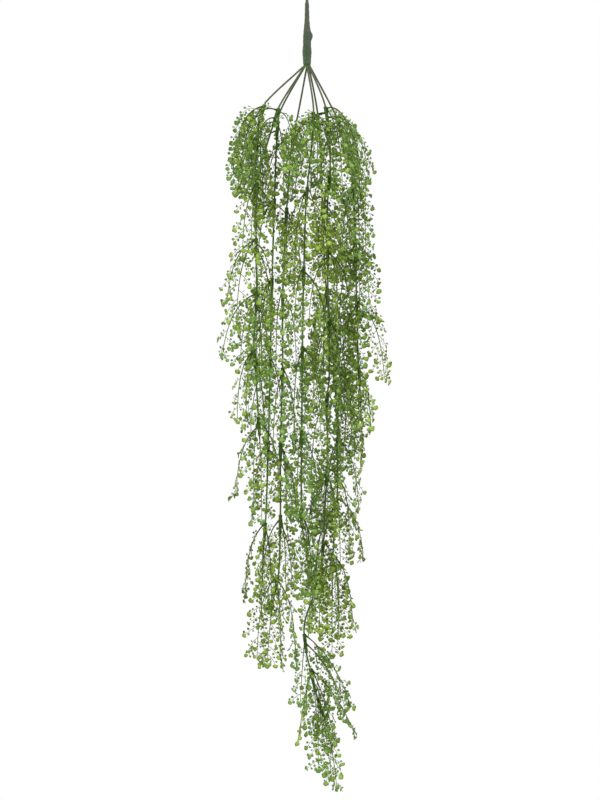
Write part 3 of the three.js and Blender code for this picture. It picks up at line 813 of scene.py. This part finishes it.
    # and three leaves at the rib's own end
    at = between(stations, length + END_STARTS)
    off = unit(at["off"])
    onward = unit(turned(at["along"], off, END_ANGLES + rng.normal(0, END_STRAY, 3)))
    base = at["place"] + onward * END_STALKS
    add_leaf_stalks(parts, at["place"], base + onward * LEAF_SINK, off, stalk_look, sizes)
    put_leaves(parts, FAN_SHAPES, base, onward, off, END_SIZES * sizes.fan_leaf / MM,
               look_rows([tone] * 3, END_RIPENESS, coolness), rng)


# ---- Materials ----------------------------------------------------------------------------------

def start_material(name):
    """A new material with its node tree, and the shader that everything ends in."""
    material = bpy.data.materials.new(name)
    material.use_nodes = True
    tree = material.node_tree
    return material, tree, tree.nodes["Principled BSDF"]


def set_inputs(tree, node, inputs):
    """Sets a node's inputs to numbers, or links them to sockets."""
    for key, value in inputs.items():
        if isinstance(value, bpy.types.NodeSocket):
            tree.links.new(value, node.inputs[key])
        else:
            node.inputs[key].default_value = value


def add_node(tree, kind, inputs, **settings):
    node = tree.nodes.new(kind)
    for key, value in settings.items():
        setattr(node, key, value)
    set_inputs(tree, node, inputs)
    return node


def read_attribute(tree, name):
    """The three numbers of a vector attribute."""
    attribute = add_node(tree, "ShaderNodeAttribute", {}, attribute_name=name)
    return add_node(tree, "ShaderNodeSeparateXYZ", {0: attribute.outputs["Vector"]}).outputs


def calculate(tree, operation, *inputs):
    return add_node(tree, "ShaderNodeMath", dict(enumerate(inputs)), operation=operation).outputs[0]


def multiply(tree, *inputs):
    return calculate(tree, "MULTIPLY", *inputs)


def blend_colours(tree, share, first, second):
    """A mix of two colours, each of them a socket or three numbers."""
    first, second = (colour if isinstance(colour, bpy.types.NodeSocket) else (*colour, 1.0)
                     for colour in (first, second))
    node = add_node(tree, "ShaderNodeMix", {0: share, 6: first, 7: second}, data_type="RGBA")
    return node.outputs[2]


def shade(tree, value, colour):
    """A colour made lighter or darker."""
    return add_node(tree, "ShaderNodeHueSaturation", {"Value": value, "Color": colour}).outputs[0]


def object_place(tree):
    return add_node(tree, "ShaderNodeTexCoord", {}).outputs["Object"]


def add_noise(tree, scale, detail=3.0):
    """Noise fixed to the object, with scale in features a metre."""
    inputs = {"Vector": object_place(tree), "Scale": scale, "Detail": detail}
    return add_node(tree, "ShaderNodeTexNoise", inputs).outputs["Fac"]


def add_bump(tree, shader, height, distance):
    inputs = {"Height": height, "Distance": distance, "Strength": 1.0}
    tree.links.new(add_node(tree, "ShaderNodeBump", inputs).outputs[0], shader.inputs["Normal"])


def spread_values(tree, value, source, target):
    """Values from one range (low, high) spread over another."""
    inputs = {"Value": value, **dict(enumerate([*source, *target], 1))}
    return add_node(tree, "ShaderNodeMapRange", inputs).outputs[0]


def mottle(tree, scale, least, most, detail=3.0):
    """Soft patches of values between least and most."""
    return spread_values(tree, add_noise(tree, scale, detail), (0.3, 0.7), (least, most))


FAN_VEINS = 26.0  # radians of veins from a fan's middle to its side
TAPE_CREASES = 34  # in each turn
# Steel of the saw marks: painted shade in their grooves, painted highlight on their ridges
STEEL_GROOVE_SHADE, STEEL_RIDGE_HIGHLIGHT = (0.32, 0.31, 0.3), (0.5, 0.49, 0.47)


def make_leaf_material(colours):
    """Soft satin plastic: each leaf its own green, yellower where riper, with veins pressed in."""
    material, tree, shader = start_material("leaf_plastic")
    tone, ripeness, coolness = read_attribute(tree, "look")
    angle, radius, _ = read_attribute(tree, "spot")
    ramp = add_node(tree, "ShaderNodeValToRGB", {0: tone})
    stops = ramp.color_ramp.elements
    stops[0].color = (*colours.leaf_dark, 1)
    stops[1].color = (*colours.leaf_light, 1)
    stops.new(0.5).color = (*colours.leaf_green, 1)
    ripe = multiply(tree, calculate(tree, "POWER", ripeness, 1.3), 0.85)
    colour = blend_colours(tree, ripe, ramp.outputs[0], colours.leaf_ripe)
    cool = spread_values(tree, coolness, (0.25, 0.75), (0.0, 0.85))
    colour = blend_colours(tree, cool, colour, colours.leaf_cool)
    veins = calculate(tree, "SINE", multiply(tree, angle, FAN_VEINS))
    veins = multiply(tree, veins, radius)
    lines = spread_values(tree, veins, (0.2, 1.0), (1.0, 1.16))
    # Painted shade and highlight: each leaf is made lighter in its middle and darker towards its
    # rim
    rim = spread_values(tree, radius, (0.62, 1.0), (1.15, 0.4))
    value = multiply(tree, multiply(tree, mottle(tree, 900, 0.8, 1.18), lines), rim)
    set_inputs(tree, shader, {
        "Base Color": shade(tree, value, colour), "Roughness": mottle(tree, 1500, 0.32, 0.5),
        "Specular IOR Level": 0.18, "Subsurface Weight": 0.42,
        "Subsurface Radius": (1.0, 1.0, 0.4), "Subsurface Scale": 0.002})
    add_bump(tree, shader, veins, 0.00012)
    return material


def make_stalk_material(colours):
    """Moulded stalks: dark green at the root, paler towards the leaves."""
    material, tree, shader = start_material("stalk_plastic")
    _, share, _ = read_attribute(tree, "look")
    colour = blend_colours(tree, share, colours.stalk_root, colours.stalk_end)
    set_inputs(tree, shader, {
        "Base Color": shade(tree, mottle(tree, 700, 0.75, 1.2), colour),
        "Roughness": 0.5, "Specular IOR Level": 0.08})
    add_bump(tree, shader, add_noise(tree, 2500), 0.00008)
    return material


def make_sleeve_material(colours):
    """The sleeves' thicker, darker green plastic."""
    material, tree, shader = start_material("sleeve_plastic")
    patches = mottle(tree, 350, 0.7, 1.35, detail=4)
    set_inputs(tree, shader, {"Base Color": shade(tree, patches, (*colours.sleeve, 1)),
                              "Roughness": 0.5, "Specular IOR Level": 0.12})
    add_bump(tree, shader, add_noise(tree, 1400), 0.00015)
    return material


def make_wire_material(colours):
    """A thin dull plastic coat on wire, scuffed paler in places, and greener down in the bunch."""
    material, tree, shader = start_material("wire_coat")
    depth, _, _ = read_attribute(tree, "look")
    scuffs = spread_values(tree, add_noise(tree, 260, 5), (0.52, 0.7), (0.0, 0.6))
    colour = blend_colours(tree, scuffs, colours.wire, colours.wire_scuffed)
    set_inputs(tree, shader, {
        "Base Color": blend_colours(tree, depth, colour, colours.wire_green),
        "Roughness": spread_values(tree, scuffs, (0.0, 0.6), (0.42, 0.6)),
        "Specular IOR Level": 0.2})
    add_bump(tree, shader, add_noise(tree, 1800), 0.0001)
    return material


def make_tape_material(name, colour, lower_colour, edge):
    """Waxed crepe tape: fine creases across each turn, painted darker in their hollows and lighter
    on their ridges as shade and highlight, and a paler worn edge on each overlap.
    """
    material, tree, shader = start_material(name)
    turn, lap, depth = read_attribute(tree, "look")
    colour = blend_colours(tree, calculate(tree, "POWER", depth, 4.0), colour, lower_colour)
    worn = spread_values(tree, lap, (0.86, 1.0), (0.0, 0.55))
    colour = blend_colours(tree, worn, colour, edge)
    creases = calculate(tree, "SINE", multiply(tree, turn, 2 * math.pi * TAPE_CREASES))
    height = calculate(tree, "ADD", multiply(tree, creases, 0.35), add_noise(tree, 900, 4))
    stains = spread_values(tree, add_noise(tree, 110, 2), (0.35, 0.65), (0.84, 1.14))
    # Painted shade and highlight: the colour follows the creases' height, darker in their hollows
    # and lighter on their ridges
    value = multiply(tree, spread_values(tree, height, (0.0, 1.2), (0.72, 1.25)), stains)
    set_inputs(tree, shader, {"Base Color": shade(tree, value, colour), "Roughness": 0.62})
    add_bump(tree, shader, height, 0.0003)
    return material


def make_steel_material():
    """The bare cut face of the rod: steel with saw marks, painted darker in their grooves and
    lighter on their ridges as shade and highlight.
    """
    material, tree, shader = start_material("cut_steel")
    marks = add_node(tree, "ShaderNodeTexWave", {
        "Vector": object_place(tree), "Scale": 1800.0, "Distortion": 2.0}).outputs["Fac"]
    # Painted shade and highlight: darker steel in the marks' grooves, lighter on their ridges
    set_inputs(tree, shader, {"Base Color": blend_colours(tree, marks, STEEL_GROOVE_SHADE, STEEL_RIDGE_HIGHLIGHT),
                              "Metallic": 1.0, "Roughness": 0.38})
    add_bump(tree, shader, marks, 0.00005)
    return material


# ---- What a user may change ---------------------------------------------------------------------

def length_property(name, description, millimetres):
    return bpy.props.FloatProperty(name=name, description=description, default=millimetres * MM,
                                   min=0.0, precision=5, subtype="DISTANCE", unit="LENGTH")


def colour_property(name, description, colour):
    return bpy.props.FloatVectorProperty(name=name, description=description, default=colour,
                                         min=0.0, max=1.0, size=3, subtype="COLOR")


class FernSizes(bpy.types.PropertyGroup):
    """Sizes of the fine pieces, in metres."""

    fan_leaf: length_property("Fan leaf", "Length of the large leaf at each stalk's end", 7.0)
    small_leaf: length_property("Small leaf", "Length of the leaves beside each stalk", 4.3)
    stalk_length: length_property("Side stalk", "Length of the longest side stalks", 22.0)
    stalk_pitch: length_property("Stalk pitch", "Distance between stalks on one side", 13.0)
    rib_width: length_property("Rib width", "Width of a spray's rib where it is thickest", 1.7)
    stalk_width: length_property("Stalk width", "Width of a side stalk at its root", 0.85)
    leaf_stalk_width: length_property("Leaf stalk width", "Width of a leaf's own stalk", 0.5)
    sleeve_radius: length_property("Sleeve radius", "Outside radius of a moulded sleeve", 2.7)
    wire_radius: length_property("Wire radius", "Outside radius of the coated wires", 1.35)
    tape_lap: length_property("Tape lap", "Height of the step where tape overlaps itself", 0.32)
    tape_turn: length_property("Tape turn", "Height gained by each turn of tape", 7.5)


class FernColours(bpy.types.PropertyGroup):
    """Base colours of the finishes."""

    leaf_dark: colour_property("Leaf, dark", "Darkest leaves in the bunch", (0.014, 0.031, 0.002))
    leaf_green: colour_property("Leaf, green", "Most leaves", (0.110, 0.204, 0.010))
    leaf_light: colour_property("Leaf, light", "Palest leaves", (0.290, 0.420, 0.086))
    leaf_ripe: colour_property("Leaf, ripe", "Yellow green of outer leaves", (0.206, 0.308, 0.044))
    leaf_cool: colour_property("Leaf, cool", "Bluer green towards the top", (0.084, 0.184, 0.044))
    stalk_root: colour_property("Stalk root", "Stalks where they leave", (0.028, 0.049, 0.002))
    stalk_end: colour_property("Stalk end", "Stalks near the leaves", (0.092, 0.150, 0.006))
    sleeve: colour_property("Sleeve", "Moulded sleeves", (0.034, 0.080, 0.010))
    wire: colour_property("Wire", "Coat of the wires and rod", (0.058, 0.064, 0.036))
    wire_green: colour_property("Wire, green", "Wires among the fronds", (0.042, 0.080, 0.012))
    wire_scuffed: colour_property("Wire, scuffed", "Where the coat is rubbed", (0.085, 0.092, 0.05))
    tape_olive: colour_property("Upper tape", "Grey olive tape", (0.056, 0.070, 0.037))
    tape_green: colour_property("Collar tape", "Blue green tape", (0.040, 0.078, 0.031))
    tape_edge: colour_property("Tape edge", "Worn edges of the tape", (0.2, 0.22, 0.16))


class StudioSettings(bpy.types.PropertyGroup):
    """Floor, lights and camera."""

    view_distance: length_property("View distance", "From the camera to the stem's axis", 4000)
    view_height: bpy.props.FloatProperty(
        name="Frame height", description="Height that the picture's frame covers at the object",
        default=1.12, min=0.1, subtype="DISTANCE", unit="LENGTH")
    floor_drop: length_property("Floor drop", "From the lowest leaf to the floor", 300)
    floor_radius: length_property("Floor radius", "Radius of the round floor", 2000)
    surround: bpy.props.FloatProperty(name="Surround", description="Strength of the white surround",
                                      default=1.0, min=0.0)
    key_power: bpy.props.FloatProperty(name="Key light", description="Power of the key light",
                                       default=90.0, min=0.0, subtype="POWER", unit="POWER")


# ---- Pieces, one operator each ------------------------------------------------------------------

class FERN_OT_studio(bpy.types.Operator):
    """Lay the pale floor, hang the soft lights and set the camera"""

    bl_idname = "fern.studio"
    bl_label = "Studio"

    AIM = (-0.0098, 0.0, -0.595)
    SENSOR = 36.0
    FLOOR_SIDES, FLOOR_COLOUR = 96, (0.9, 0.9, 0.9)
    LIGHTS = (  # name, place, size, and power as a share of the key light's
        ("key_light", (-1.7, -2.6, 1.3), 1.2, 1.0),
        ("fill_light", (2.4, -1.9, 0.2), 1.6, 0.35),
        ("top_light", (0.4, 1.6, 1.9), 1.4, 0.5),
    )

    def execute(self, context):
        settings = context.scene.studio_settings
        self.set_camera(context, settings)
        self.set_world(context, settings)
        self.set_lights(settings)
        self.lay_floor(settings)
        context.scene.view_settings.view_transform = "Standard"
        return {"FINISHED"}

    def set_camera(self, context, settings):
        camera = bpy.data.cameras.new("camera")
        camera.sensor_fit = "AUTO"
        camera.sensor_width = self.SENSOR
        camera.lens = self.SENSOR * settings.view_distance / settings.view_height
        camera.clip_end = 100.0
        place = (self.AIM[0], -settings.view_distance, self.AIM[2])
        context.scene.camera = add_object("camera", camera, place, (math.pi / 2, 0, 0))

    def set_world(self, context, settings):
        world = bpy.data.worlds.new("surround")
        world.use_nodes = True
        background = world.node_tree.nodes["Background"]
        background.inputs["Color"].default_value = (1, 1, 1, 1)
        background.inputs["Strength"].default_value = settings.surround
        context.scene.world = world

    def set_lights(self, settings):
        for name, place, size, share in self.LIGHTS:
            light = bpy.data.lights.new(name, "AREA")
            light.size = size
            light.energy = settings.key_power * share
            aim = np.array(self.AIM) - np.array(place)
            tilt = math.atan2(aim[2], math.hypot(aim[0], aim[1]))
            turn = math.atan2(aim[1], aim[0])
            add_object(name, light, place, (math.pi / 2 + tilt, 0, turn - math.pi / 2))

    def lay_floor(self, settings):
        height = SOLID_BOX[0][2] - settings.floor_drop
        count, radius = self.FLOOR_SIDES, settings.floor_radius
        turns = [2 * math.pi * k / count for k in range(count)]
        rim = [(radius * math.cos(turn), radius * math.sin(turn), height) for turn in turns]
        mesh = bpy.data.meshes.new("floor")
        mesh.from_pydata(rim, [], [tuple(range(count))])
        material, tree, shader = start_material("pale_floor")
        set_inputs(tree, shader, {"Base Color": (*self.FLOOR_COLOUR, 1), "Roughness": 0.9})
        mesh.materials.append(material)
        floor = add_object("floor", mesh)


class FERN_OT_rod(bpy.types.Operator):
    """Make the coated steel rod that the bunch hangs by"""

    bl_idname = "fern.rod"
    bl_label = "Core rod"

    COLUMNS = 32
    BARE = 0.8  # radius of the bare steel face, as a share of the rod's
    CUT_EDGE, CUT_DEPTH = 0.93, 0.15  # where the coat's cut end starts to round, and how deep
    END_RADIUS, END_DEPTH = 0.85, 0.3
    UNEVEN, WAVES = 0.012, 1.7

    def execute(self, context):
        parts, radius, length = Parts(), ROD_RADIUS, -ROD_END
        profile = [(self.BARE * radius, 0.0), (self.CUT_EDGE * radius, 0.0),
                   (radius, self.CUT_DEPTH)]
        profile += [(radius * (1 + self.UNEVEN * math.sin(self.WAVES * z)), z)
                    for z in np.arange(1, length - 1, 2)]
        profile += [(radius, length - self.END_DEPTH), (self.END_RADIUS * radius, length)]
        lathe_along(parts, np.zeros(3), np.array([0.0, 0.0, -1.0]), profile, self.COLUMNS, 0, False)
        cap = (parts.faces[0] < self.COLUMNS).all(1)
        parts.slots[0] = np.where(cap, 1, 0)
        materials = [make_wire_material(context.scene.fern_colours), make_steel_material()]
        make_piece("stem_rod", parts, materials, "core_rod")
        return {"FINISHED"}


TAPE_COLUMNS, TAPE_SPACING = 72, 0.5
LAP_RISE = 0.9  # of the lap's height over one turn
LAP_CREST, LAP_FALL = 0.93, 0.07  # where in a turn the step down starts, and how long it is
LUMP_ANGLE, LUMP_REACH = 0.62, 5.5  # round the stem in radians, and along it


def tape_band(outside, bore, lap, turn_height, lump):
    """A band of wound tape, whose outside steps out once each turn.

    The outside's rows are (radius, height) downward, and the bore's are upward.
    """
    top, bottom = outside[0][1], outside[-1][1]
    heights = np.linspace(top, bottom, int((top - bottom) / TAPE_SPACING) + 1)
    plain = np.interp(-heights, [-h for _, h in outside], [r for r, _ in outside])
    angles = 2 * np.pi * np.arange(TAPE_COLUMNS) / TAPE_COLUMNS
    turns = (heights[0] - heights)[:, None] / turn_height + angles / (2 * np.pi)
    phase = turns % 1
    fall = (phase > LAP_CREST) * (phase - LAP_CREST) / LAP_FALL
    step = lap * (phase * LAP_RISE - fall * LAP_RISE)
    away = (angles + np.pi) % (2 * np.pi) - np.pi
    rise = (heights[:, None] - LUMP_HEIGHT) / LUMP_REACH
    outer = plain[:, None] - lap + step + lump * np.exp(-(away / LUMP_ANGLE) ** 2 - rise ** 2)
    ring = np.stack([np.cos(angles), np.sin(angles)], 1)
    rows, looks = [], []
    for k, height in enumerate(heights):
        rows.append(np.column_stack([ring * outer[k][:, None], np.full(TAPE_COLUMNS, height)]))
        depth = np.full(TAPE_COLUMNS, k / (len(heights) - 1))
        looks.append(np.column_stack([turns[k], phase[k], depth]))
    for radius, height in bore:
        rows.append(np.column_stack([ring * radius, np.full(TAPE_COLUMNS, height)]))
        looks.append(np.zeros((TAPE_COLUMNS, 3)))
    faces = [[a, c, b] for a, b, c in grid_faces(len(rows), TAPE_COLUMNS, True)]
    parts = Parts()
    parts.add(np.array(rows), faces, 0, np.concatenate(looks))
    return parts


class FERN_OT_tapes(bpy.types.Operator):
    """Wind the olive tape round the stem and the green collar under it"""

    bl_idname = "fern.tapes"
    bl_label = "Tapes"

    LUMP = 2.7
    ROOM = 0.05  # between the tape and what it binds
    COLLAR_TURN = 0.7  # as a share of the upper tape's

    def execute(self, context):
        sizes, colours = context.scene.fern_sizes, context.scene.fern_colours
        lap, turn = sizes.tape_lap / MM, sizes.tape_turn / MM
        wide = RING_RADIUS + sizes.wire_radius / MM + self.ROOM
        narrow = ROD_RADIUS + self.ROOM
        for name, colour, outside, bore, turn_height, lump, node, slot in (
            ("olive_tape", colours.tape_olive, TAPE_OUTSIDE,
             [(wide, TAPE_JOIN), (wide, TAPE_STEP - 1), (narrow, TAPE_STEP), (narrow, TAPE_TOP)],
             turn, self.LUMP, "tape_upper", "tape_olive"),
            ("green_tape", colours.tape_green, COLLAR_OUTSIDE,
             [(wide, COLLAR_OUTSIDE[-1][1]), (wide, COLLAR_OUTSIDE[0][1])],
             turn * self.COLLAR_TURN, 0.0, "tape_collar", "tape_green"),
        ):
            parts = tape_band(outside, bore, lap, turn_height, lump)
            material = make_tape_material(name, colour, colours.tape_green, colours.tape_edge)
            make_piece(name, parts, [material], node, TAPE_CREASE)
        return {"FINISHED"}


class FERN_OT_wires(bpy.types.Operator):
    """Bend the eight coated wires from the collar down through their sleeves"""

    bl_idname = "fern.wires"
    bl_label = "Vine wires"

    SIDES = 10
    SPACING = 5.0
    THIN, TOP_SWELL, SWELL_LENGTH = 0.9, 0.1, 90  # shares of the radius, and millimetres
    UNEVEN, LONG_WAVES, SHORT_WAVES = 0.05, 7.3, 3.1
    GREEN_DEPTH = 110.0  # below the split, where the coat is all green
    SPLIT_GREEN, GREEN_FADE = 0.8, 18.0  # the tape's green on the coat, and where it fades

    def execute(self, context):
        sizes, colours = context.scene.fern_sizes, context.scene.fern_colours
        material = make_wire_material(colours)
        for number, vine in enumerate(VINES, 1):
            points = self.line(vine)
            start = np.linalg.norm(points - points[0], axis=1)
            thickness = self.THIN + self.TOP_SWELL * np.exp(-start / self.SWELL_LENGTH)
            waves = np.sin(start / self.LONG_WAVES + number)
            radii = sizes.wire_radius / MM * thickness
            radii *= 1 + self.UNEVEN * waves * np.sin(start / self.SHORT_WAVES)
            normals = np.tile([0.0, 1.0, 0.0], (len(points), 1))
            corners, faces = tubes(points[None], radii[None], normals[None], self.SIDES)
            depth = SPLIT - points[:, 2]
            green = np.maximum(depth / self.GREEN_DEPTH,
                               self.SPLIT_GREEN - depth / self.GREEN_FADE)
            green = green.clip(0, 1).repeat(self.SIDES)
            parts = Parts()
            parts.add(corners, faces, 0, np.stack([green] * 3, 1))
            make_piece(f"vine_wire_{number}", parts, [material], f"wire_{number}")
        return {"FINISHED"}

    def line(self, vine):
        """Points of the wire: smooth between sleeves and straight through each of them."""
        return wire_points(vine, [WIRE_TOP, (WIRE_TOP + SPLIT) / 2],
                           lambda _, gap: max(int(gap / self.SPACING), 1))


class FERN_OT_fronds(bpy.types.Operator):
    """Mould every frond: its sleeve, ribs, stalks and leaves"""

    bl_idname = "fern.fronds"
    bl_label = "Fronds"

    SAG, CROWN_SAG = 0.15, 0.9
    COOL_STRAY = 0.22

    # Partner and clump sprays, with angles in degrees. A partner's rise and length are shares
    # of its spray's.
    PARTNER_TURN = (20, 48)
    PARTNER_RISE = (0.45, 0.95)
    PARTNER_TWIST = (40, 100)
    PARTNER_LENGTH = (0.85, 1.25)
    LONGEST_PARTNER = 138
    CLUMP_PITCH, CLUMP_BEND, CLUMP_FACING, CLUMP_LENGTH = -52, 42, 250, 122

    SLEEVE_COLUMNS = 14
    SLEEVE_ROOM = 0.15  # between a wire and its sleeve
    TIP_RADIUS, TIP_PAST = 0.3, 1
    SLEEVE_OUTSIDE = [  # share of the sleeve's radius, distance from its top
        (0.82, 0), (1.0, 0.5), (1.02, 2.2), (0.9, 3.2), (0.94, 6), (1.0, 9), (0.88, 12), (0.94, 15),
        (0.84, 19), (0.78, 23), (0.86, 24.5), (0.86, 26.4), (0.72, 27)]

    def execute(self, context):
        sizes, colours = context.scene.fern_sizes, context.scene.fern_colours
        materials = [make_leaf_material(colours), make_stalk_material(colours),
                     make_sleeve_material(colours)]
        for number, (node, frond) in enumerate(place_fronds().items()):
            rng = np.random.default_rng(SPRAY_SEED + number)
            parts = Parts()
            self.add_sleeve(parts, frond, sizes)
            sag = self.CROWN_SAG if frond["is_crown"] else self.SAG
            coolness = frond["coolness"] + rng.normal(0, self.COOL_STRAY)
            hung = list(frond["sprays"])
            hung += [self.partner(spray, rng) for spray in hung if rng.random() < frond["fullness"]]
            hung += [self.clump(frond["sprays"][0], heading) for heading in CLUMPS.get(node, ())]
            for spray in hung:
                dress_spray(parts, spray, frond["openness"], sag, coolness, sizes, rng)
            make_piece(node.replace("frond", "leafy_frond"), parts, materials, node)
        return {"FINISHED"}

    def partner(self, spray, rng):
        """A second spray from the same root, hung a little to one side."""
        aside = rng.choice([-1, 1]) * rng.uniform(*self.PARTNER_TURN)
        return {
            **spray,
            "heading": spray["heading"] + math.radians(aside),
            "pitch": mix(HANG, spray["pitch"], rng.uniform(*self.PARTNER_RISE)),
            "twist": spray["twist"] + math.radians(rng.uniform(*self.PARTNER_TWIST)),
            "length": min(spray["length"] * rng.uniform(*self.PARTNER_LENGTH),
                          self.LONGEST_PARTNER),
        }

    def clump(self, spray, heading):
        """A spray from the same root that hangs close, to hide the wire."""
        return {**spray, "heading": math.radians(heading), "pitch": math.radians(self.CLUMP_PITCH),
                "bend": self.CLUMP_BEND, "twist": math.radians(heading - self.CLUMP_FACING),
                "length": self.CLUMP_LENGTH}

    def add_sleeve(self, parts, frond, sizes):
        radius = sizes.sleeve_radius / MM
        bore = sizes.wire_radius / MM + self.SLEEVE_ROOM
        profile = [(radius * share, distance) for share, distance in self.SLEEVE_OUTSIDE]
        if frond["is_last"]:
            profile[-1] = (self.TIP_RADIUS * radius, SLEEVE_LENGTH + self.TIP_PAST)
        else:
            profile += [(bore, SLEEVE_LENGTH), (bore, 0)]
        lathe_along(parts, frond["head"], frond["along"], profile, self.SLEEVE_COLUMNS,
                    SLEEVE_SLOT, not frond["is_last"])


class FERN_PT_panel(bpy.types.Panel):
    """Lists the pieces and what may be changed on them"""

    bl_idname = "FERN_PT_panel"
    bl_label = "Hanging fern"
    bl_space_type = "VIEW_3D"
    bl_region_type = "UI"
    bl_category = "Fern"

    def draw(self, context):
        for operator in OPERATORS:
            self.layout.operator(operator.bl_idname)
        for group in (context.scene.fern_sizes, context.scene.fern_colours,
                      context.scene.studio_settings):
            box = self.layout.box()
            for name in group.__annotations__:
                box.prop(group, name)


GROUPS = {"fern_sizes": FernSizes, "fern_colours": FernColours, "studio_settings": StudioSettings}
OPERATORS = (FERN_OT_studio, FERN_OT_rod, FERN_OT_tapes, FERN_OT_wires, FERN_OT_fronds)


def register():
    for name, group in GROUPS.items():
        bpy.utils.register_class(group)
        setattr(bpy.types.Scene, name, bpy.props.PointerProperty(type=group))
    for operator in OPERATORS:
        bpy.utils.register_class(operator)
    bpy.utils.register_class(FERN_PT_panel)


def unregister():
    bpy.utils.unregister_class(FERN_PT_panel)
    for operator in reversed(OPERATORS):
        bpy.utils.unregister_class(operator)
    for name, group in reversed(GROUPS.items()):
        delattr(bpy.types.Scene, name)
        bpy.utils.unregister_class(group)


def main():
    register()
    bpy.ops.fern.studio()
    bpy.ops.fern.rod()
    bpy.ops.fern.tapes()
    bpy.ops.fern.wires()
    bpy.ops.fern.fronds()


if __name__ == "__main__":
    main()
